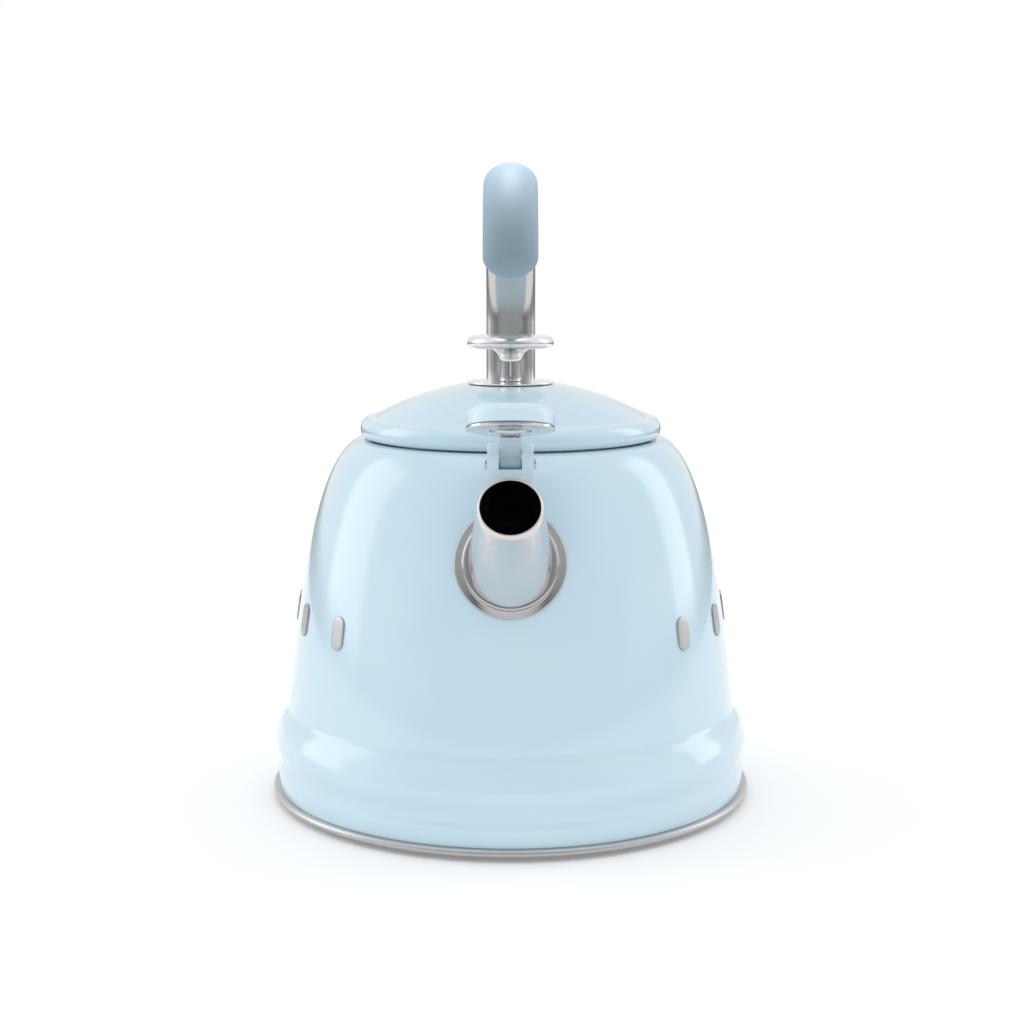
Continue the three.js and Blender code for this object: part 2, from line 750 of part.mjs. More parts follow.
function makeKnob() {
  const hole = KNOB.screwRadius + gap;
  const ring = (radius, low, high) => [[hole, low], [radius, low], [radius, high], [hole, high]];
  const rosetteLow = seatHeight + gap;
  const bevel = KNOB.rosetteSheet / 2;
  const rosette = [
    [hole, rosetteLow],
    [KNOB.rosetteRadius - bevel, rosetteLow],
    [KNOB.rosetteRadius, rosetteLow + bevel],
    [KNOB.rosetteRadius - 2 * bevel, rosetteTop],
    [hole, rosetteTop],
  ];
  addPiece("knob_rosette", turned(rosette, discSegments), polished);
  const collar = ring(KNOB.collarRadius, rosetteTop + gap, collarTop);
  addPiece("knob_collar", turned(collar, smallSegments), polished);

  const stemLow = collarTop + gap;
  const flareReach = KNOB.stemFlare - KNOB.stemRadius;
  const stem = [
    [hole, stemLow],
    [KNOB.stemRadius, stemLow],
    ...arcPoints(KNOB.stemFlare, stemTop - flareReach, flareReach, flareReach, 180, 90, 5),
    [hole, stemTop],
  ];
  addPiece("knob_stem", turned(stem, discSegments), polished);

  const edge = KNOB.discThickness / 2;
  const screwTop = discTop - KNOB.screwCover;
  const disc = [
    [0, discTop + KNOB.discCrown],
    [KNOB.discRadius * 0.5, discTop + KNOB.discCrown * 0.7],
    ...arcPoints(KNOB.discRadius - edge, discLow + edge, edge, edge, 90, -90, 6),
    [hole, discLow],
    [hole, screwTop + gap],
    [0, screwTop + gap],
  ];
  addPiece("knob_disc", turned(disc, discSegments), polished);

  const washerTop = domeHeight(LID.seatRadius, LID.wall) - gap;
  const washerLow = washerTop - KNOB.washerSheet;
  addPiece("knob_washer", turned(ring(KNOB.washerRadius, washerLow, washerTop), smallSegments), polished);
  const headTop = washerLow - gap;
  const headLow = headTop - KNOB.screwHeadHeight;
  const headBevel = 0.8;
  const screw = [
    [0, headLow],
    [KNOB.screwHeadRadius - headBevel, headLow],
    [KNOB.screwHeadRadius, headLow + headBevel],
    [KNOB.screwHeadRadius, headTop],
    [KNOB.screwRadius, headTop],
    [KNOB.screwRadius, screwTop],
    [0, screwTop],
  ];
  addPiece("knob_screw", turned(screw, smallSegments), brushed);
}

// ---------- Handle ----------
const rivetOffset = HANDLE.saddleHeight / 2 - HANDLE.rivetEdge;
const rivetPlaces = [
  { name: "handle_rivet_upper", matrix: onWall(180, saddleHeight + rivetOffset) },
  { name: "handle_rivet_lower", matrix: onWall(180, saddleHeight - rivetOffset) },
];
const rivetHole = () => rod(HANDLE.rivetRadius + gap, -wallReach, wallReach, pinSegments);

function makeHandle() {
  const { width, thickness, tangWidth, tangThickness, frontSweep, tangShort } = HANDLE;
  const bore = 2 * HANDLE.sheet;
  const { rearAngle } = GRIP;
  const outside = sweep(stadium(width, thickness), handlePath({ foot: 3, rear: [0, rearAngle] }), 11);
  const tang = sweep(
    stadium(tangWidth, tangThickness),
    handlePath({ rear: [rearAngle - 4, 90], front: frontSweep - tangShort }),
    12,
  );
  const hollow = sweep(
    stadium(width - bore, thickness - bore),
    handlePath({ foot: 8, rear: [0, rearAngle - 2] }),
    10,
  );
  const tangHollow = sweep(
    stadium(tangWidth - bore, tangThickness - bore),
    handlePath({ rear: [rearAngle - 6, 90], front: frontSweep - tangShort + 1 }),
    10,
  );
  const tube = outside
    .add(tang)
    .subtract(hollow.add(tangHollow))
    .subtract(wallCore(2 * gap + HANDLE.saddleSheet))
    .subtract(toSolid(gripScrewShank(gap)));
  addPiece("handle_tube", toGeometry(tube), polished);

  // Oval plate that follows the wall and carries the rivets.
  const plate = new THREE.ExtrudeGeometry(oval(HANDLE.saddleWidth, HANDLE.saddleHeight), {
    depth: 2 * wallReach,
    bevelEnabled: false,
    curveSegments: 14,
  });
  plate.translate(0, 0, -wallReach).applyMatrix4(onWall(180, saddleHeight));
  const foot = rivetPlaces.reduce(
    (solid, place) => solid.subtract(toSolid(rivetHole().applyMatrix4(place.matrix))),
    toSolid(plate).intersect(wallBand(gap, gap + HANDLE.saddleSheet)),
  );
  addPiece("handle_foot", toGeometry(foot), polished);

  // Domed head outside, shank through plate and wall, flat head inside.
  const head = HANDLE.rivetHeadRadius;
  const headLow = 2 * gap + HANDLE.saddleSheet;
  const shankLow = -BODY.wall - 3 * gap;
  const tailHeight = 1;
  const rivet = [
    [0, shankLow - tailHeight],
    [head, shankLow - tailHeight],
    [head, shankLow],
    [HANDLE.rivetRadius, shankLow],
    [HANDLE.rivetRadius, headLow],
    [head, headLow],
    [head * 0.8, headLow + HANDLE.rivetHeadHeight * 0.65],
    [head * 0.4, headLow + HANDLE.rivetHeadHeight * 0.95],
    [0, headLow + HANDLE.rivetHeadHeight],
  ];
  for (const { name, matrix } of rivetPlaces)
    addPiece(name, turned(rivet, pinSegments).applyMatrix4(matrix), polished);
}

// ---------- Grip ----------
// Screw on the underside of the grip, square to the centre line, near the start of the grip.
const gripScrewAngle = radians(GRIP.rearAngle + GRIP.screwAngle);
const gripScrewFrame = new THREE.Matrix4()
  .makeTranslation(
    0,
    uprightReach - HANDLE.rearRadius * (1 - Math.cos(gripScrewAngle)),
    uprightTop + HANDLE.rearRadius * Math.sin(gripScrewAngle),
  )
  .multiply(new THREE.Matrix4().makeRotationX(gripScrewAngle + Math.PI / 2));
const tangFace = HANDLE.tangThickness / 2;

function gripScrewShank(margin) {
  return rod(GRIP.screwRadius + margin, tangFace - 3, tangFace + 8, pinSegments).applyMatrix4(gripScrewFrame);
}

function makeGrip() {
  const { width, thickness, rearAngle, noseLength } = GRIP;
  const line = handlePath({ rear: [rearAngle + 0.7, 90], front: HANDLE.frontSweep });
  const room = handlePath({ rear: [rearAngle - 6, 90], front: HANDLE.frontSweep - 20 });
  const noseAngle = radians(90 + HANDLE.frontSweep);
  const inset = 0.985; // the nose's rim stays just inside the grip's end face
  const nose = new THREE.SphereGeometry(1, 20, 10).rotateX(Math.PI / 2);
  nose.scale((inset * width) / 2, (inset * thickness) / 2, noseLength);
  nose.rotateX(noseAngle - Math.PI);
  nose.translate(
    0,
    -HANDLE.frontReach + HANDLE.frontRadius * Math.cos(noseAngle),
    handleTop - HANDLE.frontRadius * (1 - Math.sin(noseAngle)),
  );
  const play = 4 * gap;
  const headSeat = tangFace + GRIP.screwFloor;
  const headRoom = rod(GRIP.screwHeadRadius + gap, headSeat, headSeat + thickness / 2, pinSegments);
  const grip = sweep(oval(width, thickness), line, 15, 10)
    .add(toSolid(nose))
    .subtract(sweep(stadium(HANDLE.tangWidth + play, HANDLE.tangThickness + play), room, 12))
    .subtract(toSolid(gripScrewShank(gap)))
    .subtract(toSolid(headRoom.applyMatrix4(gripScrewFrame)));
  addPiece("handle_grip", toGeometry(grip), matteBlue);

  const head = GRIP.screwHeadRadius;
  const headLow = headSeat + gap;
  const headTop = headLow + GRIP.screwHeadHeight;
  const screw = [
    [0, headLow - 4],
    [GRIP.screwRadius, headLow - 4],
    [GRIP.screwRadius, headLow],
    [head, headLow],
    [head, (headLow + headTop) / 2],
    [head * 0.6, headTop],
    [0, headTop],
  ];
  addPiece("grip_screw", turned(screw, pinSegments).applyMatrix4(gripScrewFrame), polished);
}

// ---------- Plain side tiles ----------
function makeSideMarks() {
  const cutter = 4;
  for (const [side, sign] of [["right", 1], ["left", -1]]) {
    for (let i = 0; i < MARK.count; i += 1) {
      const tile = new THREE.ExtrudeGeometry(stadium(MARK.tall, MARK.width), {
        depth: 2 * cutter,
        bevelEnabled: false,
        curveSegments: 6,
      });
      tile.translate(0, 0, -cutter).rotateZ(Math.PI / 2);
      tile.applyMatrix4(onWall(sign * (MARK.firstAzimuth + i * MARK.pitch), stepHeight + MARK.rise));
      const solid = toSolid(tile).intersect(wallBand(gap, gap + MARK.sheet));
      addPiece(`side_mark_${side}_${i + 1}`, toGeometry(solid), brushed);
    }
  }
}

makeBase();
makeBody();
makeSpout();
makeBracket();
makeHingePin();
makeHandle();
makeGrip();
makeSideMarks();
makeLid();
makeKnob();
makeWhistle();

export default kettle;
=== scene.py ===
"""Enamelled whistling kettle with a steel spout, knob and handle, and blue moulded parts.

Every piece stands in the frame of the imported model: +Z up, spout towards -Y, handle at +Y.
Sizes inside the classes are millimetres and each mesh is written in metres.
"""

import json
import logging
import math
from collections.abc import Callable, Iterable, Sequence
from dataclasses import dataclass, field
from enum import Enum

import bmesh
import bpy
from mathutils import Matrix, Vector


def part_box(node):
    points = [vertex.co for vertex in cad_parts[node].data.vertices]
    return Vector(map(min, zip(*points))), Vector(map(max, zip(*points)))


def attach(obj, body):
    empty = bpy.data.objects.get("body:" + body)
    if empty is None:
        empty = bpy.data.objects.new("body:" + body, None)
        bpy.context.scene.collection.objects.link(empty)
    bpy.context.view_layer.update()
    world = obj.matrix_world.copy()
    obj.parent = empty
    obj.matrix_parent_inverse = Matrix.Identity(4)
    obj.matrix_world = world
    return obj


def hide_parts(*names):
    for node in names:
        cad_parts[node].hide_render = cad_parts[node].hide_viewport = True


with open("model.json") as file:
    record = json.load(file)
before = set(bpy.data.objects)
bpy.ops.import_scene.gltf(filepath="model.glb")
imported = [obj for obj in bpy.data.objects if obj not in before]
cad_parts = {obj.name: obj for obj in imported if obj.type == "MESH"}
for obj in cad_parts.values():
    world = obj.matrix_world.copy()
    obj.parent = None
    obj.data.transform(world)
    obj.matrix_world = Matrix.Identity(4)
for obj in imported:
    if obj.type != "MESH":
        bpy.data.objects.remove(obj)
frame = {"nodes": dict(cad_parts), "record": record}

LOG = logging.getLogger("kettle")
MM = 0.001
FULL_TURN = 2.0 * math.pi
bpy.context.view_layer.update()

Pair = tuple[float, float]
Colour = tuple[float, float, float]


class Turn(Enum):
    """Which way a steel piece was brushed or polished."""

    SPUN = "rings about the piece's own axis"
    LENGTHWISE = "lines along the piece"
    CROSSWISE = "lines across the piece"


class Rides(Enum):
    """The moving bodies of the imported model."""

    KETTLE = "kettle"
    LID = "lid"
    WHISTLE = "whistle"


# ---------------------------------------------------------------- shader and node expressions


class Number:
    """A socket that carries a number, so that maths on it is written as Python."""

    def __init__(self, tree: bpy.types.NodeTree, socket: bpy.types.NodeSocket) -> None:
        """Wraps a socket of a tree.

        Args:
            tree: Node tree that new Math nodes go into.
            socket: Output socket that holds the number.
        """
        self.tree = tree
        self.socket = socket

    def _math(self, operation: str, *terms: "Number | float") -> "Number":
        """Adds one Math node.

        Args:
            operation: Blender's name of the operation.
            terms: Its inputs in order.

        Returns:
            The result as another Number.
        """
        node = self.tree.nodes.new("ShaderNodeMath")
        node.operation = operation
        for socket, term in zip(node.inputs, terms):
            if isinstance(term, Number):
                self.tree.links.new(term.socket, socket)
            else:
                socket.default_value = float(term)
        return Number(self.tree, node.outputs[0])

    def __add__(self, other: "Number | float") -> "Number":
        """Sum."""
        return self._math("ADD", self, other)

    __radd__ = __add__

    def __mul__(self, other: "Number | float") -> "Number":
        """Product."""
        return self._math("MULTIPLY", self, other)

    __rmul__ = __mul__

    def __sub__(self, other: "Number | float") -> "Number":
        """Difference."""
        return self._math("SUBTRACT", self, other)

    def __rsub__(self, other: float) -> "Number":
        """Difference from a plain number."""
        return self._math("SUBTRACT", other, self)

    def __abs__(self) -> "Number":
        """Size without sign."""
        return self._math("ABSOLUTE", self)

    def root(self) -> "Number":
        """Square root."""
        return self._math("SQRT", self)

    def sine(self) -> "Number":
        """Sine of an angle in radians."""
        return self._math("SINE", self)

    def cosine(self) -> "Number":
        """Cosine of an angle in radians."""
        return self._math("COSINE", self)

    def between(self, low: float, high: float) -> "Number":
        """Rises smoothly from 0 at low to 1 at high.

        Args:
            low: Value that gives 0.
            high: Value that gives 1.

        Returns:
            The smoothed share.
        """
        node = self.tree.nodes.new("ShaderNodeMapRange")
        node.interpolation_type = "SMOOTHSTEP"
        self.tree.links.new(self.socket, node.inputs["Value"])
        node.inputs["From Min"].default_value = low
        node.inputs["From Max"].default_value = high
        return Number(self.tree, node.outputs["Result"])

    def band(self, low: float, full: float, fading: float, high: float) -> "Number":
        """Rises smoothly from 0 to 1 and falls back to 0.

        Args:
            low: Value where it starts to rise.
            full: Value where it reaches 1.
            fading: Value where it starts to fall.
            high: Value where it is 0 again.

        Returns:
            The smoothed share.
        """
        return self.between(low, full) * (1.0 - self.between(fading, high))


class Recipe:
    """A node tree with one method that makes any node."""

    def __init__(self, tree: bpy.types.NodeTree) -> None:
        """Starts from a tree.

        Args:
            tree: Shader or geometry tree to fill.
        """
        self.tree = tree

    def add(
        self, kind: str, settings: dict[str, object] | None = None, **sockets: object
    ) -> bpy.types.Node:
        """Makes a node.

        Args:
            kind: Blender's type name of the node.
            settings: Attributes set before the sockets.
            sockets: Values or links by socket name, with _ for a space.

        Returns:
            The new node.
        """
        node = self.tree.nodes.new(kind)
        for name, value in (settings or {}).items():
            setattr(node, name, value)
        self.wire(node, **sockets)
        return node

    def wire(self, node: bpy.types.Node, **sockets: object) -> None:
        """Sets or links inputs of a node.

        Args:
            node: Node to fill.
            sockets: Values or links by socket name, with _ for a space.
        """
        for name, value in sockets.items():
            self.feed(node.inputs[name.replace("_", " ")], value)

    def feed(self, socket: bpy.types.NodeSocket, value: object) -> None:
        """Sets or links one input.

        Args:
            socket: Input socket.
            value: Number, vector, colour, material, object, Number wrapper or output socket.
        """
        if isinstance(value, Number):
            self.tree.links.new(value.socket, socket)
        elif isinstance(value, bpy.types.NodeSocket):
            self.tree.links.new(value, socket)
        else:
            socket.default_value = value

    def number(self, socket: bpy.types.NodeSocket) -> Number:
        """Wraps a socket as a Number."""
        return Number(self.tree, socket)

    def place(self) -> bpy.types.NodeSocket:
        """Place on the object, which patterns follow."""
        return self.add("ShaderNodeTexCoord").outputs["Object"]

    def noise(
        self, place: bpy.types.NodeSocket, scale: float, detail: float, bent: float = 0.0
    ) -> Number:
        """Cloudy noise from 0 to 1.

        Args:
            place: Where it is read.
            scale: Clouds in a metre, roughly.
            detail: How many finer layers it has.
            bent: How far it is distorted.

        Returns:
            The noise as a Number.
        """
        node = self.add(
            "ShaderNodeTexNoise", Vector=place, Scale=scale, Detail=detail, Distortion=bent
        )
        return self.number(node.outputs["Fac"])

    def bump(
        self, shader: bpy.types.Node, height: Number, strength: float, distance: float
    ) -> None:
        """Bends the light on a shader as if its surface rose and fell.

        Args:
            shader: The Principled BSDF node.
            height: Rise from 0 to 1.
            strength: Share of the effect.
            distance: Full rise in metres.
        """
        node = self.add("ShaderNodeBump", Strength=strength, Distance=distance, Height=height)
        self.wire(shader, Normal=node.outputs["Normal"])

    def mixed(self, share: Number | float, low: object, high: object) -> bpy.types.NodeSocket:
        """Blends two colours.

        Args:
            share: 0 gives low and 1 gives high.
            low: Colour or socket.
            high: Colour or socket.

        Returns:
            The colour output.
        """
        node = self.add("ShaderNodeMix", {"data_type": "RGBA"})
        self.feed(node.inputs["Factor"], share)
        for socket, value in ((node.inputs[6], low), (node.inputs[7], high)):
            if isinstance(value, tuple):
                value = (*value, 1.0)
            self.feed(socket, value)
        return node.outputs[2]


# ---------------------------------------------------------------- finishes


class Finish:
    """Base of every finish: makes its material once."""

    name: str

    def fill(self, recipe: Recipe, shader: bpy.types.Node) -> None:
        """Wires the shader of this finish.

        Args:
            recipe: Tree to add nodes to.
            shader: The Principled BSDF node.
        """
        raise NotImplementedError

    def material(self) -> bpy.types.Material:
        """Makes the material, or returns the one already made.

        Returns:
            The material.
        """
        made = bpy.data.materials.get(self.name)
        if made:
            return made
        made = bpy.data.materials.new(self.name)
        made.use_nodes = True
        shader = made.node_tree.nodes["Principled BSDF"]
        self.fill(Recipe(made.node_tree), shader)
        return made


@dataclass(frozen=True)
class Enamel(Finish):
    """Vitreous enamel: clear glossy glaze over a pale colour, very slightly uneven."""

    name: str
    colour: Colour
    deep: Colour
    roughness: float = 0.16
    glaze: float = 0.6

    def fill(self, recipe: Recipe, shader: bpy.types.Node) -> None:
        """Wires a faint mottling and the soft waviness of fired glaze."""
        place = recipe.place()
        share = recipe.noise(place, 26.0, 3.0).between(0.3, 0.7)
        grain = recipe.noise(place, 900.0, 2.0) - 0.5
        recipe.bump(shader, recipe.noise(place, 60.0, 1.0), strength=0.05, distance=0.0004)
        recipe.wire(
            shader,
            Base_Color=recipe.mixed(share, self.colour, self.deep),
            Roughness=grain * 0.05 + self.roughness,
            Coat_Weight=self.glaze,
            Coat_Roughness=0.03,
            IOR=1.52,
        )


@dataclass(frozen=True)
class Steel(Finish):
    """Stainless steel, from mirror polished to brushed."""

    name: str
    colour: Colour = (0.78, 0.785, 0.79)
    roughness: float = 0.12
    streak: float = 0.08
    turn: Turn = Turn.SPUN
    fineness: float = 1500.0
    stretch: float = 0.012
    centre: tuple[float, float, float] = (0.0, 0.0, 0.0)
    lean: float = 0.0

    def fill(self, recipe: Recipe, shader: bpy.types.Node) -> None:
        """Wires fine polishing lines that follow the piece and faint handling marks."""
        place = recipe.place()
        mapping = recipe.add(
            "ShaderNodeMapping",
            {"vector_type": "TEXTURE"},
            Vector=place,
            Location=self.centre,
            Rotation=(self.lean, 0.0, 0.0),
        )
        parts = recipe.add("ShaderNodeSeparateXYZ", Vector=mapping.outputs["Vector"])
        x, y, z = (recipe.number(parts.outputs[axis]) for axis in "XYZ")
        fine, coarse = self.fineness, self.fineness * self.stretch
        if self.turn is Turn.SPUN:
            across = (x * x + y * y).root() * fine
            joined = recipe.add("ShaderNodeCombineXYZ", X=across, Y=z * fine, Z=x * coarse)
        elif self.turn is Turn.LENGTHWISE:
            joined = recipe.add("ShaderNodeCombineXYZ", X=x * fine, Y=y * coarse, Z=z * coarse)
        else:
            joined = recipe.add("ShaderNodeCombineXYZ", X=x * coarse, Y=y * fine, Z=z * fine)
        streaks = recipe.noise(joined.outputs["Vector"], 1.0, 3.0)
        smudge = recipe.noise(place, 38.0, 4.0).between(0.42, 0.75)
        darker = tuple(channel * 0.9 for channel in self.colour)
        recipe.bump(shader, streaks, strength=self.streak, distance=0.00006)
        recipe.wire(
            shader,
            Base_Color=recipe.mixed(streaks, darker, self.colour),
            Roughness=self.roughness + (streaks - 0.5) * self.streak + smudge * 0.04,
            Metallic=1.0,
        )


@dataclass(frozen=True)
class Moulded(Finish):
    """Injection moulded plastic with a fine texture."""

    name: str
    colour: Colour
    roughness: float = 0.35
    grain: float = 0.15
    coat: float = 0.0
    sheen: float = 0.5

    def fill(self, recipe: Recipe, shader: bpy.types.Node) -> None:
        """Wires the moulded grain and slight flow marks in the colour."""
        place = recipe.place()
        share = recipe.noise(place, 45.0, 2.0, bent=0.6).between(0.3, 0.72)
        height = recipe.noise(place, 2600.0, 2.0)
        darker = tuple(channel * 0.955 for channel in self.colour)
        recipe.bump(shader, height, strength=self.grain, distance=0.0001)
        recipe.wire(
            shader,
            Base_Color=recipe.mixed(share, darker, self.colour),
            Roughness=self.roughness + (height - 0.5) * 0.12,
            Coat_Weight=self.coat,
            Coat_Roughness=0.08,
            Specular_IOR_Level=self.sheen,
        )


@dataclass(frozen=True)
class Rubber(Finish):
    """Silicone rubber of the seal."""

    name: str
    colour: Colour

    def fill(self, recipe: Recipe, shader: bpy.types.Node) -> None:
        """Wires a dusty, soft surface."""
        share = recipe.noise(recipe.place(), 180.0, 5.0).between(0.45, 0.8)
        lighter = tuple(channel * 1.6 + 0.01 for channel in self.colour)
        recipe.wire(
            shader,
            Base_Color=recipe.mixed(share, self.colour, lighter),
            Roughness=0.55 + share * 0.25,
        )


BLUE_GLAZE = Enamel("pale_blue_enamel", (0.515, 0.69, 0.795), (0.535, 0.71, 0.81))
GROUND_COAT = Enamel("dark_ground_enamel", (0.012, 0.013, 0.015), (0.02, 0.021, 0.024), 0.4, 0.2)
# Near-black finish on the spout's inner wall and on the rivet seen in it: painted shade standing in
# for the dark of the bore.
BORE_SHADE = Moulded("dark_bore", (0.002, 0.002, 0.002), 0.8, 0.1, sheen=0.02)
MIRROR_STEEL = Steel("mirror_steel", roughness=0.09, streak=0.05)
BASE_STEEL = Steel("base_steel", colour=(0.56, 0.56, 0.565), roughness=0.34, streak=0.08)
SATIN_STEEL = Steel("satin_steel", colour=(0.62, 0.625, 0.63), roughness=0.3, streak=0.2)
HANDLE_STEEL = Steel(
    "handle_steel", colour=(0.63, 0.61, 0.605), roughness=0.18, streak=0.08, turn=Turn.LENGTHWISE
)
KNOB_STEEL = Steel("knob_steel", colour=(0.86, 0.85, 0.845), roughness=0.16, streak=0.05)
TILE_STEEL = Steel(
    "tile_steel", colour=(0.5, 0.5, 0.505), roughness=0.34, streak=0.18, turn=Turn.CROSSWISE
)
ALUMINIUM = Steel("cast_aluminium", colour=(0.66, 0.67, 0.68), roughness=0.42, streak=0.2)
BLUE_PLASTIC = Moulded("whistle_blue", (0.58, 0.75, 0.86), 0.28, 0.08, 0.3)
GRIP_PLASTIC = Moulded("grip_blue", (0.30, 0.41, 0.50), 0.55, 0.22, sheen=0.3)
SEAL_RUBBER = Rubber("seal_rubber", (0.02, 0.022, 0.025))


# ---------------------------------------------------------------- outlines, in millimetres


def arc(
    centre: Pair, across: float, tall: float, start: float, end: float, steps: int
) -> list[Pair]:
    """Points on an elliptical arc.

    Args:
        centre: Radius and height of its centre.
        across: Half width.
        tall: Half height.
        start: First angle in degrees from +r.
        end: Last angle in degrees.
        steps: Number of spans.

    Returns:
        The points, ends included.
    """
    points = []
    for i in range(steps + 1):
        a = math.radians(start + (end - start) * i / steps)
        points.append((centre[0] + across * math.cos(a), centre[1] + tall * math.sin(a)))
    return points


def circle(count: int) -> list[Pair]:
    """Cosine and sine at even steps round a full turn."""
    angles = [FULL_TURN * i / count for i in range(count)]
    return [(math.cos(a), math.sin(a)) for a in angles]


def without_twins(points: Sequence[Pair]) -> list[Pair]:
    """Leaves out each point that repeats the one before it."""
    near = 1e-3
    return [p for i, p in enumerate(points) if i == 0 or math.dist(p, points[i - 1]) > near]


def bezier(p0: Pair, p1: Pair, p2: Pair, p3: Pair, steps: int) -> list[Pair]:
    """Points on a cubic curve through p0 and p3."""
    points = []
    for i in range(steps + 1):
        t = i / steps
        k = ((1 - t) ** 3, 3 * t * (1 - t) ** 2, 3 * t * t * (1 - t), t**3)
        points.append(
            tuple(sum(w * p[axis] for w, p in zip(k, (p0, p1, p2, p3))) for axis in (0, 1))
        )
    return points


def spline(knots: Sequence[Pair], steps: int) -> list[Pair]:
    """Smooth curve through knots.

    Args:
        knots: Points that the curve passes.
        steps: Spans between neighbouring knots.

    Returns:
        The points, ends included.
    """
    points = [knots[0]]
    last = len(knots) - 1
    for i in range(last):
        before, here, there, after = (
            knots[max(i - 1, 0)],
            knots[i],
            knots[i + 1],
            knots[min(i + 2, last)],
        )
        for j in range(1, steps + 1):
            t = j / steps
            point = []
            for axis in (0, 1):
                v0 = (there[axis] - before[axis]) * 0.5
                v1 = (after[axis] - here[axis]) * 0.5
                rise = there[axis] - here[axis]
                point.append(
                    (v0 + v1 - 2 * rise) * t**3
                    + (3 * rise - 2 * v0 - v1) * t**2
                    + v0 * t
                    + here[axis]
                )
            points.append(tuple(point))
    return points


def offset(outline: Sequence[Pair], depth: float) -> list[Pair]:
    """Moves an outline square to itself.

    Args:
        outline: Points from the bottom up.
        depth: Distance towards the axis.

    Returns:
        The moved points.
    """
    moved = []
    for i, (r, z) in enumerate(outline):
        r0, z0 = outline[max(i - 1, 0)]
        r1, z1 = outline[min(i + 1, len(outline) - 1)]
        length = math.hypot(r1 - r0, z1 - z0)
        moved.append((r - depth * (z1 - z0) / length, z + depth * (r1 - r0) / length))
    return moved


# ---------------------------------------------------------------- mesh building


class Builder:
    """Collects faces for one piece and turns them into an object."""

    def __init__(self) -> None:
        """Starts an empty mesh."""
        self.mesh = bmesh.new()

    def row(self, points: Iterable[Sequence[float]]) -> list[bmesh.types.BMVert]:
        """Adds one row of vertices, given in millimetres."""
        return [self.mesh.verts.new(Vector(p) * MM) for p in points]

    def bridge(
        self, low: list[bmesh.types.BMVert], high: list[bmesh.types.BMVert], slot: int = 0
    ) -> None:
        """Joins two closed rows with faces.

        Args:
            low: First row, or a single vertex at a pole.
            high: Second row, or a single vertex at a pole.
            slot: Material slot of the faces.
        """
        count = max(len(low), len(high))
        for i in range(count):
            j = (i + 1) % count
            near = (low[i % len(low)], low[j % len(low)])
            far = (high[j % len(high)], high[i % len(high)])
            distinct = list(dict.fromkeys(near + far))
            if len(distinct) > 2:
                self.mesh.faces.new(distinct).material_index = slot

    def skin(self, rows: Sequence[list[bmesh.types.BMVert]]) -> None:
        """Bridges each row to the next."""
        for low, high in zip(rows, rows[1:]):
            self.bridge(low, high)

    def lid(self, row: list[bmesh.types.BMVert]) -> None:
        """Closes a row with one face."""
        self.mesh.faces.new(row)

    def finish(
        self, name: str, finishes: Sequence[Finish], sharp: float = 35.0
    ) -> bpy.types.Object:
        """Makes the object.

        Args:
            name: Name of the piece.
            finishes: Finish of each material slot.
            sharp: Edges bent more than this many degrees stay sharp.

        Returns:
            The new object, linked to the scene.
        """
        bmesh.ops.remove_doubles(self.mesh, verts=self.mesh.verts, dist=1e-7)
        bmesh.ops.recalc_face_normals(self.mesh, faces=self.mesh.faces)
        data = bpy.data.meshes.new(name)
        self.mesh.to_mesh(data)
        self.mesh.free()
        return as_piece(name, data, finishes, sharp)


def shade(data: bpy.types.Mesh, sharp: float) -> None:
    """Smooths a mesh, but keeps edges bent more than some degrees sharp."""
    data.shade_smooth()
    data.set_sharp_from_angle(angle=math.radians(sharp))


def as_piece(
    name: str, data: bpy.types.Mesh, finishes: Sequence[Finish], sharp: float = 35.0
) -> bpy.types.Object:
    """Gives a mesh its finishes and smooth shading and links it.

    Args:
        name: Name of the piece.
        data: Mesh whose place is in its vertices.
        finishes: Finish of each material slot.
        sharp: Edges bent more than this many degrees stay sharp.

    Returns:
        The object.
    """
    data.materials.clear()
    for finish in finishes:
        data.materials.append(finish.material())
    shade(data, sharp)
    piece = bpy.data.objects.new(name, data)
    bpy.context.scene.collection.objects.link(piece)
    return piece


def lathe(
    profile: Sequence[Pair],
    segments: int = 160,
    place: Matrix | None = None,
    inside: Callable[[Pair, Pair], bool] | None = None,
) -> Builder:
    """Turns a profile about an axis into a closed solid.

    Args:
        profile: Radius and height of each point in millimetres, closed from last to first unless
            both ends stand on the axis.
        segments: Number of sides.
        place: Matrix in millimetres that stands the solid in the frame.
        inside: Says whether the face between two points takes the second material slot.

    Returns:
        The builder that holds the solid.
    """
    made = Builder()
    place = place or Matrix.Identity(4)
    rows = []
    on_axis = 1e-6
    for r, z in profile:
        if r < on_axis:
            rows.append(made.row([place @ Vector((0.0, 0.0, z))]))
            continue
        rows.append(made.row(place @ Vector((r * c, r * s, z)) for c, s in circle(segments)))
    closed = profile[0][0] > on_axis or profile[-1][0] > on_axis
    spans = len(profile) if closed else len(profile) - 1
    for i in range(spans):
        j = (i + 1) % len(profile)
        slot = 1 if inside and inside(profile[i], profile[j]) else 0
        made.bridge(rows[i], rows[j], slot)
    return made


def settled(piece: bpy.types.Object) -> None:
    """Turns a piece with live modifiers into a plain mesh."""
    graph = bpy.context.evaluated_depsgraph_get()
    data = bpy.data.meshes.new_from_object(piece.evaluated_get(graph))
    piece.modifiers.clear()
    piece.data = data


def cut(piece: bpy.types.Object, cutter: bpy.types.Object) -> None:
    """Subtracts a solid and leaves a plain mesh.

    Args:
        piece: Solid that is changed.
        cutter: Solid taken away, which is removed afterwards.
    """
    step = piece.modifiers.new("shape", "BOOLEAN")
    step.operation = "DIFFERENCE"
    step.solver = "EXACT"
    step.object = cutter
    settled(piece)
    bpy.data.objects.remove(cutter)


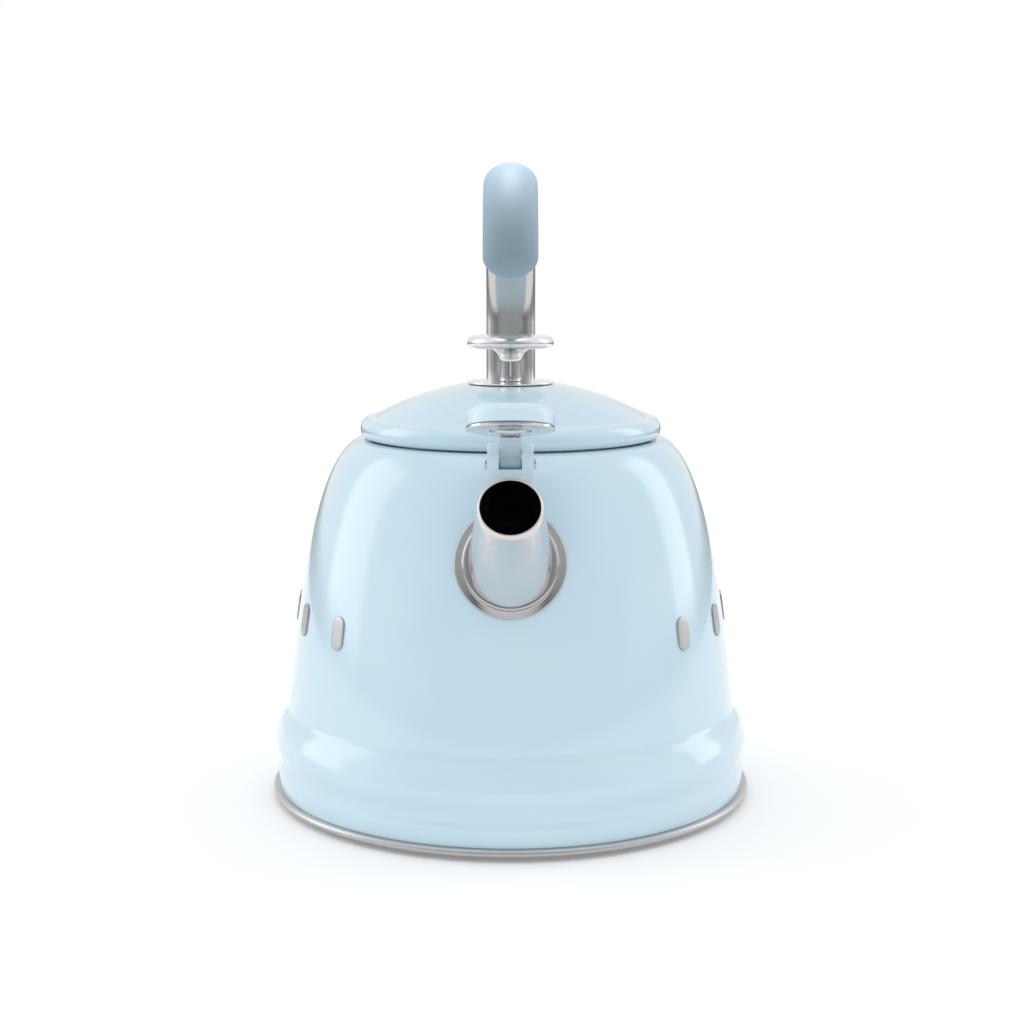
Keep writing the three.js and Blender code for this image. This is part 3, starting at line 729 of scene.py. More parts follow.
def softened(node: str, finish: Finish, width: float, steps: int) -> bpy.types.Object:
    """Copies a moulded CAD piece and rounds its sharp edges.

    Args:
        node: Name of the CAD node.
        finish: Finish of the copy.
        width: Width of the rounding in millimetres.
        steps: Segments across it.

    Returns:
        The copy.
    """
    piece = as_piece(node + "_moulded", frame["nodes"][node].data.copy(), [finish])
    made = bmesh.new()
    made.from_mesh(piece.data)
    bmesh.ops.remove_doubles(made, verts=made.verts, dist=2e-6)
    bmesh.ops.dissolve_limit(
        made, angle_limit=math.radians(0.5), verts=made.verts, edges=made.edges
    )
    made.to_mesh(piece.data)
    made.free()
    bevel = piece.modifiers.new("edge", "BEVEL")
    bevel.width = width * MM
    bevel.segments = steps
    bevel.limit_method = "ANGLE"
    bevel.angle_limit = math.radians(40.0)
    bevel.use_clamp_overlap = True
    settled(piece)
    shade(piece.data, 30.0)
    return piece


def stand_for(
    piece: bpy.types.Object, body: Rides, nodes: Sequence[str]
) -> bpy.types.Object:
    """Declares a finished piece to the frame.

    Args:
        piece: Finished object at the origin.
        body: Body that it rides on.
        nodes: CAD nodes that it stands for.

    Returns:
        The same piece.
    """
    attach(piece, body.value)
    if nodes:
        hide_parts(*nodes)
    LOG.info("%s: %d faces on %s", piece.name, len(piece.data.polygons), body.value)
    return piece


def dress(node: str, finish: Finish) -> None:
    """Gives a CAD node that stays its finish.

    Args:
        node: Name of the node.
        finish: Finish for all of it.
    """
    data = frame["nodes"][node].data
    data.materials.clear()
    data.materials.append(finish.material())
    LOG.info("%s: CAD node dressed as %s", node, finish.name)


def corners(node: str) -> tuple[Vector, Vector]:
    """Lowest and highest corner of a CAD node in millimetres."""
    low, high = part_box(node)
    return low / MM, high / MM


def low_of(node: str) -> Vector:
    """Lowest corner of a CAD node in millimetres."""
    return corners(node)[0]


def high_of(node: str) -> Vector:
    """Highest corner of a CAD node in millimetres."""
    return corners(node)[1]


def hinge_of(joint: str) -> Vector:
    """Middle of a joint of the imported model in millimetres."""
    joints = frame["record"]["behaviour"]["joints"]
    return Vector(next(j["pos_m"] for j in joints if j["name"] == joint)) / MM


# ---------------------------------------------------------------- geometry-node trees


class NodeTool:
    """A Geometry Nodes tree with named inputs that ends in a plain, dressed mesh."""

    def __init__(self, name: str, inputs: Sequence[tuple[str, str, object]]) -> None:
        """Makes the empty tree.

        Args:
            name: Name of the tree.
            inputs: Name, socket type and default of each input after the geometry.
        """
        self.tree = bpy.data.node_groups.new(name, "GeometryNodeTree")
        self.recipe = Recipe(self.tree)
        face = self.tree.interface
        face.new_socket("Geometry", in_out="INPUT", socket_type="NodeSocketGeometry")
        face.new_socket("Geometry", in_out="OUTPUT", socket_type="NodeSocketGeometry")
        self.sockets = {}
        for label, kind, default in inputs:
            socket = face.new_socket(label, in_out="INPUT", socket_type=kind)
            if default is not None:
                socket.default_value = default
            self.sockets[label] = socket.identifier
        self.start = self.tree.nodes.new("NodeGroupInput")
        self.end = self.tree.nodes.new("NodeGroupOutput")

    def given(self, label: str) -> bpy.types.NodeSocket:
        """Output of the group input with a label."""
        return self.start.outputs[label]

    def close(self, geometry: bpy.types.NodeSocket) -> None:
        """Ends the tree in Realize Instances and Set Material.

        Args:
            geometry: The finished geometry.
        """
        whole = self.recipe.add("GeometryNodeRealizeInstances", Geometry=geometry)
        dressed = self.recipe.add(
            "GeometryNodeSetMaterial",
            Geometry=whole.outputs["Geometry"],
            Material=self.given("Finish"),
        )
        self.tree.links.new(dressed.outputs["Geometry"], self.end.inputs[0])

    def run(
        self, name: str, base: bpy.types.ID, values: dict[str, object], finish: Finish
    ) -> bpy.types.Object:
        """Evaluates the tree on some base data and keeps the result as a plain mesh.

        Args:
            name: Name of the piece.
            base: Mesh or curve data that goes in.
            values: Input values by label.
            finish: Finish of the result.

        Returns:
            The finished object, with no modifier.
        """
        carrier = bpy.data.objects.new(name + "_base", base)
        bpy.context.scene.collection.objects.link(carrier)
        step = carrier.modifiers.new("build", "NODES")
        step.node_group = self.tree
        step[self.sockets["Finish"]] = finish.material()
        for label, value in values.items():
            step[self.sockets[label]] = value
        bpy.context.view_layer.update()
        graph = bpy.context.evaluated_depsgraph_get()
        data = bpy.data.meshes.new_from_object(carrier.evaluated_get(graph))
        bpy.data.objects.remove(carrier)
        return as_piece(name, data, [finish])


def around_tool() -> NodeTool:
    """Copies of a small piece at even steps round the kettle's axis.

    Returns:
        The tool. Its piece faces +Z, with its foot at the origin.
    """
    tool = NodeTool(
        "pieces_around_axis",
        [
            ("Piece", "NodeSocketObject", None),
            ("Count", "NodeSocketInt", 4),
            ("Radius", "NodeSocketFloat", 0.05),
            ("Height", "NodeSocketFloat", 0.0),
            ("First Angle", "NodeSocketFloat", 0.0),
            ("Pitch", "NodeSocketFloat", 0.3),
            ("Lean", "NodeSocketFloat", 0.0),
            ("Finish", "NodeSocketMaterial", None),
        ],
    )
    recipe = tool.recipe
    points = recipe.add("GeometryNodePoints", Count=tool.given("Count"))
    index = recipe.number(recipe.add("GeometryNodeInputIndex").outputs[0])
    angle = index * recipe.number(tool.given("Pitch")) + recipe.number(tool.given("First Angle"))
    radius = recipe.number(tool.given("Radius"))
    place = recipe.add(
        "ShaderNodeCombineXYZ",
        X=angle.sine() * radius,
        Y=-1.0 * (angle.cosine() * radius),
        Z=tool.given("Height"),
    )
    placed = recipe.add(
        "GeometryNodeSetPosition",
        Geometry=points.outputs[0],
        Position=place.outputs[0],
    )
    facing = recipe.add("ShaderNodeCombineXYZ", X=tool.given("Lean"), Y=0.0, Z=angle)
    shape = recipe.add("GeometryNodeObjectInfo", Object=tool.given("Piece"))
    copies = recipe.add(
        "GeometryNodeInstanceOnPoints",
        Points=placed.outputs[0],
        Instance=shape.outputs["Geometry"],
        Rotation=facing.outputs[0],
    )
    tool.close(copies.outputs[0])
    return tool


def sweep_tool() -> NodeTool:
    """A flattened tube along a curve.

    Returns:
        The tool. The base is the path, and the section is an oval or a stadium.
    """
    tool = NodeTool(
        "flattened_tube_on_path",
        [
            ("Width", "NodeSocketFloat", 0.02),
            ("Thickness", "NodeSocketFloat", 0.01),
            ("Spacing", "NodeSocketFloat", 0.0012),
            ("Finish", "NodeSocketMaterial", None),
        ],
    )
    recipe = tool.recipe
    width = recipe.number(tool.given("Width"))
    thick = recipe.number(tool.given("Thickness"))
    section = recipe.add("GeometryNodeCurvePrimitiveQuadrilateral", Width=width, Height=thick)
    round_off = recipe.add(
        "GeometryNodeFilletCurve",
        {"mode": "POLY"},
        Curve=section.outputs[0],
        Count=14,
        Radius=thick * 0.4995,
    )
    path = recipe.add(
        "GeometryNodeResampleCurve",
        {"mode": "LENGTH"},
        Curve=tool.given("Geometry"),
        Length=tool.given("Spacing"),
    )
    tube = recipe.add(
        "GeometryNodeCurveToMesh",
        Curve=path.outputs[0],
        Profile_Curve=round_off.outputs[0],
        Fill_Caps=True,
    )
    tool.close(tube.outputs[0])
    return tool


# ---------------------------------------------------------------- the kettle's wall


@dataclass
class Wall:
    """Outline of the enamelled body, which other pieces stand on."""

    seam_radius: float = 85.7
    seam_height: float = 4.3
    step_radius: float = 82.26
    step_height: float = 32.5
    shoulder_radius: float = 56.3
    shoulder_height: float = 130.3
    sheet: float = 1.2
    outline: list[Pair] = field(default_factory=list)

    def __post_init__(self) -> None:
        """Works out the outline from seam to shoulder."""
        r, z = self.seam_radius, self.seam_height
        skirt = spline(
            [
                (r, z),
                (r + 0.35, z + 5.15),
                (r - 0.3, z + 10.3),
                (r + 1.1, z + 17.2),
                (r - 0.47, z + 23.8),
                (self.step_radius, self.step_height),
            ],
            12,
        )
        inset = self.step_radius - self.shoulder_radius
        rise = self.shoulder_height - self.step_height
        bell = bezier(
            (self.step_radius, self.step_height),
            (self.step_radius - inset * 0.17, self.step_height + rise * 0.39),
            (self.step_radius - inset * 0.415, self.step_height + rise * 0.909),
            (self.shoulder_radius, self.shoulder_height),
            56,
        )
        self.outline = skirt + bell[1:]

    def radius(self, height: float) -> float:
        """Outer radius at a height."""
        for (r0, z0), (r1, z1) in zip(self.outline, self.outline[1:]):
            if z0 <= height <= z1:
                return r0 + (r1 - r0) * (height - z0) / (z1 - z0)
        return self.outline[-1][0] if height > self.shoulder_height else self.outline[0][0]

    def lean(self, height: float) -> float:
        """Angle in radians that the wall leans inwards at a height."""
        reach = 6.0
        return math.atan((self.radius(height - reach) - self.radius(height + reach)) / (2 * reach))

    def stand(self, azimuth: float, height: float) -> Matrix:
        """Frame on the wall whose +Z points out of it.

        Args:
            azimuth: Degrees round from the spout.
            height: Height in millimetres.

        Returns:
            The matrix in millimetres.
        """
        return (
            Matrix.Rotation(math.radians(azimuth), 4, "Z")
            @ Matrix.Translation((0.0, -self.radius(height), height))
            @ Matrix.Rotation(math.pi / 2 - self.lean(height), 4, "X")
        )

    def onto(self, stand: Matrix, x: float, y: float, above: float) -> Vector:
        """Point over the wall, straight along the stand's axis.

        Args:
            stand: Frame from stand().
            x: Place across the stand.
            y: Place up the stand.
            above: Distance outside the wall.

        Returns:
            The point in millimetres.
        """
        low, high = -30.0, 12.0
        halvings = 30
        for _ in range(halvings):
            middle = (low + high) / 2
            point = stand @ Vector((x, y, middle))
            if math.hypot(point.x, point.y) > self.radius(point.z):
                high = middle
            else:
                low = middle
        return stand @ Vector((x, y, low + above))

    def core(self, outside: float) -> bpy.types.Object:
        """Solid of everything within a distance outside the wall.

        Args:
            outside: Distance in millimetres, negative for inside the wall.

        Returns:
            A scratch solid for cutting.
        """
        skin = offset(self.outline[::2], -outside)
        low, high = skin[0][1] - 20.0, skin[-1][1]
        profile = [(0.0, low), (skin[0][0], low), *skin, (0.0, high)]
        return lathe(profile).finish("scratch_core", [BORE_SHADE])


WALL = Wall(
    seam_height=low_of("body_shell").z,
    shoulder_height=high_of("body_shell").z - 0.5,
)


def seated(node: str, above: float) -> dict[str, object]:
    """Inputs of around_tool that stand a piece on the wall at a CAD node's height.

    Args:
        node: Name of the CAD node.
        above: Distance outside the wall in millimetres.

    Returns:
        Radius, height and lean by label.
    """
    low, high = corners(node)
    height = (low.z + high.z) / 2
    seat = WALL.onto(WALL.stand(0.0, height), 0.0, 0.0, above)
    return {
        "Radius": math.hypot(seat.x, seat.y) * MM,
        "Height": seat.z * MM,
        "Lean": math.pi / 2 - WALL.lean(height),
    }


# ---------------------------------------------------------------- sub-assemblies


@dataclass
class Base:
    """Induction plate, aluminium core and the rolled steel pan under the enamel."""

    bead_section: float = 1.3
    bead_lift: float = 0.22
    gap: float = 0.3
    sheet: float = 1.0
    plate_sheet: float = 0.9
    dimple_rings: int = 5
    dimple_pitch: float = 11.0
    dimple_radius: float = 1.5
    dimple_rise: float = 0.05
    dimples_first_ring: int = 8

    def build(self) -> None:
        """Builds the three layers and the dimples pressed in the underside."""
        self.plate()
        self.dimples()
        self.pan()
        dress("heat_core", ALUMINIUM)

    def plate(self) -> None:
        """Shallow steel cup that the kettle stands on."""
        low, high = corners("induction_plate")
        outer, top = high.x, high.z
        inner = outer - self.plate_sheet
        profile = [
            (0.0, low.z),
            *arc((outer - 1.0, low.z + 1.0), 1.0, 1.0, -90, 0, 6),
            (outer, top),
            (inner, top),
            (inner, low.z + self.plate_sheet),
            (0.0, low.z + self.plate_sheet),
        ]
        piece = lathe(profile, 128).finish("induction_plate_spun", [SATIN_STEEL])
        stand_for(piece, Rides.KETTLE, ["induction_plate"])

    def dimples(self) -> None:
        """Rings of small pressed marks on the underside of the plate."""
        foot = low_of("induction_plate").z
        clear = 0.001
        radius, rise = self.dimple_radius, self.dimple_rise
        mark = lathe([(0.0, 0.0), (radius, 0.0), (radius, rise), (0.0, rise)], 10)
        shape = mark.finish("dimple_shape", [ALUMINIUM])
        tool = around_tool()
        made = []
        for ring in range(1, self.dimple_rings + 1):
            count = self.dimples_first_ring * ring
            values = {
                "Piece": shape,
                "Count": count,
                "Radius": ring * self.dimple_pitch * MM,
                "Height": (foot + clear) * MM,
                "Pitch": FULL_TURN / count,
                "Lean": 0.0,
            }
            base = bpy.data.meshes.new("dimple_base")
            made.append(tool.run(f"dimples_{ring}", base, values, ALUMINIUM))
        bpy.data.objects.remove(shape)
        joined = bmesh.new()
        for piece in made:
            joined.from_mesh(piece.data)
            bpy.data.objects.remove(piece)
        data = bpy.data.meshes.new("induction_dimples")
        joined.to_mesh(data)
        joined.free()
        piece = as_piece("induction_dimples", data, [ALUMINIUM])
        stand_for(piece, Rides.KETTLE, [])

    def pan(self) -> None:
        """Steel pan with the bright rolled bead that shows under the enamel."""
        low, high = corners("bottom_pan")
        bead = (high.x - self.bead_section, low.z + self.bead_section + self.bead_lift)
        flange = WALL.seam_radius - WALL.sheet - self.gap
        bottom = high_of("heat_core").z + self.gap
        inner, floor = flange - self.sheet, bottom + self.sheet
        fillet = 1.0
        profile = [
            (0.0, bottom),
            (flange - self.bead_section, bottom),
            *arc(bead, self.bead_section, self.bead_section, -130, 90, 26),
            (flange, bead[1] + self.bead_section),
            (flange, high.z),
            (inner, high.z),
            *arc((inner - fillet, floor + fillet), fillet, fillet, 0, -90, 6),
            (0.0, floor),
        ]
        piece = lathe(profile, 192).finish("bottom_pan_spun", [BASE_STEEL])
        stand_for(piece, Rides.KETTLE, ["bottom_pan"])


@dataclass
class Body:
    """Enamelled bell with its rolled lip and neck."""

    neck_radius: float = 50.7
    neck_depth: float = 9.5
    lip: float = 2.0
    bore_margin: float = 0.3

    def build(self, bore: Callable[[float], bpy.types.Object]) -> None:
        """Builds the shell and cuts the hole under the spout.

        Args:
            bore: Makes the cutting cone for a margin in millimetres.
        """
        top = WALL.shoulder_height
        lip_height = top + 0.5 - self.lip
        rim = arc((self.neck_radius + self.lip, lip_height), self.lip, self.lip, 75, 180, 14)
        neck_outside = self.neck_radius + WALL.sheet
        neck_bottom = top - self.neck_depth
        roof = top - self.lip
        inner = [p for p in offset(WALL.outline, WALL.sheet)[1:] if p[1] < roof]
        inner_radii = {round(p[0], 5) for p in inner} | {round(neck_outside, 5)}
        profile = [
            *WALL.outline,
            *rim,
            (self.neck_radius, neck_bottom),
            (neck_outside, neck_bottom),
            (neck_outside, roof),
            *reversed(inner),
            (WALL.seam_radius - WALL.sheet, WALL.seam_height),
        ]

        def hidden(first: Pair, second: Pair) -> bool:
            """Whether a face belongs to the dark inside of the body."""
            return round(first[0], 5) in inner_radii and round(second[0], 5) in inner_radii

        shell = lathe(profile, 192, inside=hidden).finish(
            "body_enamel", [BLUE_GLAZE, GROUND_COAT], 50.0
        )
        cut(shell, bore(self.bore_margin))
        stand_for(shell, Rides.KETTLE, ["body_shell"])


@dataclass
class Spout:
    """Conical spout, its collar on the wall and the bracket for the whistle."""

    elevation: float = 36.0
    mouth_radius: float = 10.2
    root_flare: float = 4.0
    length: float = 39.5
    sheet: float = 0.7
    flange_radius: float = 18.5
    step_radius: float = 15.9
    collar_rise: float = 2.9
    collar_hole: float = 11.0
    overrun: float = 14.0
    bore_overrun: float = 16.0
    root_clearance: float = 2.0

    def __post_init__(self) -> None:
        """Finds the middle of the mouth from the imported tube."""
        angle = math.radians(self.elevation)
        low, high = corners("spout_tube")
        self.mouth = Vector(
            (
                0.0,
                low.y + self.mouth_radius * math.sin(angle),
                high.z - self.mouth_radius * math.cos(angle),
            )
        )
        self.place = Matrix.Translation(self.mouth) @ Matrix.Rotation(math.pi / 2 - angle, 4, "X")
        along = {"centre": tuple(self.mouth * MM), "lean": math.pi / 2 - angle}
        self.bright = Steel("spout_steel", (0.80, 0.755, 0.745), 0.16, 0.10, **along)
        self.pressed = Steel("collar_steel", (0.50, 0.495, 0.498), 0.14, 0.08, **along)

    def radius(self, height: float) -> float:
        """Outer radius at a height over the mouth, negative towards the body."""
        return self.mouth_radius - height * self.root_flare / self.length

    def bore(self, margin: float) -> bpy.types.Object:
        """Cone that cuts the body under the spout.

        Args:
            margin: Distance outside the spout in millimetres.

        Returns:
            A scratch solid.
        """
        low, high = -self.length - self.bore_overrun, 0.0
        profile = [
            (0.0, low),
            (self.radius(low) + margin, low),
            (self.radius(high) + margin, high),
            (0.0, high),
        ]
        return lathe(profile, 96, self.place).finish("scratch_bore", [BORE_SHADE])

    def build(self) -> None:
        """Builds the tube, the collar and what holds the whistle."""
        self.tube()
        self.collar()
        self.bracket()
        self.pin()
        # The rivet seen in the bore takes the near-black painted shade.
        dress("bracket_rivet", BORE_SHADE)

    def tube(self) -> None:
        """Thin cone with a rounded mouth, its inside painted near-black as shade, that ends just
        inside the wall.
        """
        low = -self.length - self.overrun
        lip = self.sheet / 2
        steps = 18
        outside = [
            (self.radius(z), z)
            for z in (low + (-lip - low) * i / steps for i in range(steps + 1))
        ]
        inside = [(r - self.sheet, z) for r, z in reversed(outside)]
        mouth = arc((self.radius(0.0) - lip, -lip), lip, lip, 0, 180, 8)
        profile = [*outside, *mouth[1:-1], *inside]
        dark = {round(z, 5) for r, z in inside}
        depth = lip * 1.7

        def hidden(first: Pair, second: Pair) -> bool:
            """Whether a face lies in the bore, which takes the painted shade."""
            deep = all(r < self.radius(z) - depth for r, z in (first, second))
            return deep and round(first[1], 5) in dark

        piece = lathe(profile, 128, self.place, inside=hidden).finish(
            "spout_cone", [self.bright, BORE_SHADE]
        )
        cut(piece, WALL.core(-WALL.sheet - self.root_clearance))
        stand_for(piece, Rides.KETTLE, ["spout_tube"])

    def collar(self) -> None:
        """Flange and step ring that follow the curve of the wall."""
        root = self.place @ Vector((0.0, 0.0, -self.length))
        stand = WALL.stand(0.0, root.z)
        flange, step, rise = self.flange_radius, self.step_radius, self.collar_rise
        profile = [
            (flange - 0.1, 0.3),
            (flange, 0.45),
            (flange, 0.95),
            (flange - 0.12, 1.13),
            (flange - 0.35, 1.2),
            (step + 0.55, 1.2),
            (step + 0.15, 1.35),
            (step, 1.7),
            (step, 2.3),
            (step - 0.25, 2.7),
            (step - 0.8, rise),
            (step - 1.6, rise),
            (self.collar_hole, rise),
            (self.collar_hole, 0.3),
        ]
        made = Builder()
        rows = [
            made.row(WALL.onto(stand, r * c, r * s, above) for c, s in circle(128))
            for r, above in profile
        ]
        made.skin([*rows, rows[0]])
        piece = made.finish("spout_collar_pressed", [self.pressed])
        cut(piece, self.bore(-0.2))
        stand_for(piece, Rides.KETTLE, ["spout_collar"])

    def bracket(self) -> None:
        """Moulded bracket with two ears, softened at its edges."""
        piece = softened("whistle_bracket", BLUE_PLASTIC, 0.55, 3)
        stand_for(piece, Rides.KETTLE, ["whistle_bracket"])

    def pin(self) -> None:
        """Hinge pin with domed heads."""
        low, high = corners("hinge_pin")
        end, head = high.x, (high.z - low.z) / 2
        overhang, head_height = 0.5, 0.7
        shank, foot = head - overhang, end - head_height
        dome = arc((shank, end - overhang), overhang, overhang, 0, 90, 6)
        half = [(shank, foot), (head, foot), *dome, (0.0, end)]
        profile = [(r, -z) for r, z in reversed(half)] + half
        pivot = hinge_of("whistle_flip")
        place = Matrix.Translation(pivot) @ Matrix.Rotation(math.pi / 2, 4, "Y")
        piece = lathe(profile, 48, place).finish("hinge_pin_turned", [SATIN_STEEL])
        stand_for(piece, Rides.KETTLE, ["hinge_pin"])


@dataclass
class Whistle:
    """Flip-up whistle: cap, sealing plate, tone cup and arm."""

    open_angle: float = 67.6
    closed_gap: float = 0.6
    overhang: float = 3.6
    cap_height: float = 6.2
    cap_edge: float = 3.2
    cap_wall: float = 1.6
    vent: float = 2.0
    plate: float = 1.0
    insert: float = 6.2
    insert_sheet: float = 0.7
    cup_depth: float = 3.2
    tone_hole: float = 1.3

    def build(self, spout: Spout) -> None:
        """Builds the whistle in its opened position.

        Args:
            spout: Spout whose mouth it covers.
        """
        pivot = hinge_of("whistle_flip")
        turn = math.radians(-self.open_angle)
        self.place = (
            Matrix.Translation(pivot)
            @ Matrix.Rotation(turn, 4, "X")
            @ Matrix.Translation(-pivot)
            @ spout.place
            @ Matrix.Translation((0.0, 0.0, self.closed_gap))
        )
        self.radius = spout.mouth_radius + self.overhang
        centre = self.place @ Vector((0.0, 0.0, 0.0))
        lean = turn + math.pi / 2 - math.radians(spout.elevation)
        self.bright = Steel(
            "whistle_steel",
            colour=(0.80, 0.77, 0.76),
            roughness=0.12,
            streak=0.1,
            centre=tuple(centre * MM),
            lean=lean,
        )
        self.cap()
        self.sealing_plate()
        self.tone_cup()
        self.arm()
        dress("whistle_back_disc", SATIN_STEEL)

    def cap(self) -> None:
        """Hollow moulded cap with a rounded edge and a steam vent."""
        low, top = self.plate + 0.3, self.plate + self.cap_height
        edge = (self.radius - self.cap_edge, top - self.cap_edge)
        inner = self.cap_edge - self.cap_wall
        profile = [
            (self.vent, top - 0.3),
            (self.vent + 0.3, top),
            *arc(edge, self.cap_edge, self.cap_edge, 90, 0, 14),
            (self.radius, low + 0.3),
            (self.radius - 0.3, low),
            (self.radius - self.cap_wall, low),
            *arc(edge, inner, inner, 0, 90, 8),
            (self.vent, top - self.cap_wall),
        ]
        piece = lathe(profile, 128, self.place).finish("whistle_cap_moulded", [BLUE_PLASTIC])
        stand_for(piece, Rides.WHISTLE, ["whistle_cap"])

    def sealing_plate(self) -> None:
        """Bright plate that closes the mouth."""
        hole = self.insert + 0.3
        profile = [
            (hole, 0.15),
            (hole + 0.15, 0.0),
            (self.radius - 1.1, 0.0),
            (self.radius - 0.5, 0.08),
            *arc((self.radius - 0.35, 0.5), 0.35, 0.4, -60, 0, 4),
            (self.radius, self.plate),
            (hole, self.plate),
        ]
        piece = lathe(profile, 128, self.place).finish("whistle_plate_pressed", [self.bright])
        stand_for(piece, Rides.WHISTLE, ["whistle_plate"])

    def tone_cup(self) -> None:
        """Shallow cup with the tone hole in its recessed floor."""
        sheet = self.insert_sheet
        inner = self.insert - sheet
        top = self.plate + self.cup_depth
        profile = [
            (self.tone_hole, sheet),
            (inner - 0.3, sheet),
            (inner, 0.15),
            (inner + 0.15, 0.0),
            (self.insert - 0.1, 0.0),
            (self.insert, 0.1),
            (self.insert, top),
            (inner, top),
            (inner, 2 * sheet),
            (self.tone_hole, 2 * sheet),
        ]
        piece = lathe(profile, 96, self.place).finish("whistle_tone_cup", [SATIN_STEEL])
        stand_for(piece, Rides.WHISTLE, ["whistle_insert"])

    def arm(self) -> None:
        """Moulded arm with softened edges."""
        piece = softened("whistle_arm", BLUE_PLASTIC, 0.3, 2)
        stand_for(piece, Rides.WHISTLE, ["whistle_arm"])


@dataclass
class Lid:
    """Domed enamel lid with its skirt and seal."""

    dome_radius: float = 102.2
    seat: float = 17.0
    rim_section: float = 3.9
    rim_half: float = 4.1
    sheet: float = 1.2
    hole: float = 1.8
    blend: float = 1.5
    skirt_sheet: float = 0.9
    skirt_flange: float = 4.7

    def build(self) -> None:
        """Builds the shell, the skirt inside it and the seal."""
        self.shell()
        self.skirt()
        self.seal()

    def shell(self) -> None:
        """Dome that runs into a rolled rim, dark ground coat inside."""
        low, high = corners("lid_shell")
        rim_centre = high.x - self.rim_section
        rim_height = low.z + self.rim_half * math.sin(math.radians(50))
        edge = rim_centre - self.blend
        centre = high.z - math.sqrt(self.dome_radius**2 - self.seat**2)

        def dome(start: float, end: float, inset: float, steps: int) -> list[Pair]:
            """Points on the dome between two radii."""
            radii = (start + (end - start) * i / steps for i in range(steps + 1))
            return [(r, centre + math.sqrt((self.dome_radius - inset) ** 2 - r * r)) for r in radii]

        inside_edge = rim_centre + 0.8
        under = dome(edge - 0.2, self.seat, self.sheet, 20)
        profile = [
            (self.hole, high.z),
            *dome(self.seat, edge, 0.0, 26),
            *arc((rim_centre, rim_height), self.rim_section, self.rim_half, 96, -50, 30),
            (inside_edge, rim_height - self.rim_half * 0.78),
            (inside_edge + 0.1, rim_height),
            *under,
            (self.hole, under[-1][1]),
        ]
        dark = {round(p[1], 5) for p in under}

        def hidden(first: Pair, second: Pair) -> bool:
            """Whether a face lies under the dome."""
            return round(first[1], 5) in dark and round(second[1], 5) in dark

        piece = lathe(profile, 192, inside=hidden).finish(
            "lid_enamel", [BLUE_GLAZE, GROUND_COAT], 50.0
        )
        stand_for(piece, Rides.LID, ["lid_shell"])

    def skirt(self) -> None:
        """Steel skirt with a turned-in flange."""
        low, high = corners("lid_skirt")
        outer, sheet, flange = high.x, self.skirt_sheet, self.skirt_flange
        drop = high.z - 1.2
        profile = [
            (outer - sheet, low.z + 0.3),
            (outer - sheet / 2, low.z),
            (outer, low.z + 0.3),
            (outer, drop - 0.5),
            (outer - 0.5, drop),
            (outer - flange, high.z),
            (outer - flange, high.z - sheet),
            (outer - sheet, drop - sheet),
        ]
        piece = lathe(profile).finish("lid_skirt_spun", [SATIN_STEEL])
        stand_for(piece, Rides.LID, ["lid_skirt"])

    def seal(self) -> None:
        """Silicone ring with two soft lips."""
        low, high = corners("lid_seal")
        inner = high_of("lid_skirt").x + 0.3
        outer, middle = high.x, (low.z + high.z) / 2
        profile = [
            (inner, low.z),
            (outer - 0.35, low.z),
            (outer, low.z + 0.5),
            (outer, low.z + 0.8),
            (outer - 0.4, middle),
            (outer, high.z - 0.8),
            (outer, high.z - 0.5),
            (outer - 0.35, high.z),
            (inner, high.z),
        ]
        piece = lathe(profile).finish("lid_seal_moulded", [SEAL_RUBBER])
        stand_for(piece, Rides.LID, ["lid_seal"])


@dataclass
class Knob:
    """Steel knob: rosette, collar, flared stem and pressed disc."""

    hole: float = 1.8

    def build(self) -> None:
        """Builds the stack from the lid upwards."""
        self.rosette()
        self.collar()
        self.stem()
        self.disc()
        dress("knob_washer", SATIN_STEEL)
        dress("knob_screw", SATIN_STEEL)

    def place(self, profile: Sequence[Pair], name: str, node: str) -> None:
        piece = lathe(profile, 128).finish(name, [KNOB_STEEL])
        stand_for(piece, Rides.LID, [node])

    def rosette(self) -> None:
        """Flat washer with a rolled edge."""
        low, high = corners("knob_rosette")
        half = (high.z - low.z) / 2
        edge = arc((high.x - half, low.z + half), half, half, -90, 60, 8)
        profile = [(self.hole, low.z), *edge, (high.x - 1.1, high.z), (self.hole, high.z)]
        self.place(profile, "knob_rosette_spun", "knob_rosette")

    def collar(self) -> None:
        """Short ring under the stem."""
        low, high = corners("knob_collar")
        profile = [
            (self.hole, low.z),
            (high.x, low.z),
            (high.x, high.z - 0.2),
            (high.x - 0.2, high.z),
            (self.hole, high.z),
        ]
        self.place(profile, "knob_collar_spun", "knob_collar")

    def stem(self) -> None:
        """Stem that flares like a trumpet under the disc."""
        low, high = corners("knob_stem")
        narrow = high_of("knob_collar").x + 0.1
        reach = high.x - narrow
        profile = [
            (self.hole, low.z),
            (narrow - 0.15, low.z),
            (narrow, low.z + 0.15),
            *arc((high.x, high.z - reach), reach, reach, 180, 90, 18),
            (self.hole, high.z),
        ]
        self.place(profile, "knob_stem_turned", "knob_stem")

    def disc(self) -> None:
        """Low disc with a full round edge and a slight crown."""
        low, high = corners("knob_disc")
        crown = 0.4
        edge = (high.z - crown - low.z) / 2
        middle = (high.x - edge, low.z + edge)
        top = [
            (high.x * 0.5 * i / 4, high.z - crown * 0.3 * (i / 4) ** 2) for i in range(5)
        ]
        ceiling = high_of("knob_screw").z + 0.3
        profile = [
            *top,
            *arc(middle, edge, edge, 86, -90, 22),
            (self.hole, low.z),
            (self.hole, ceiling),
            (0.0, ceiling),
        ]
        self.place(profile, "knob_disc_turned", "knob_disc")


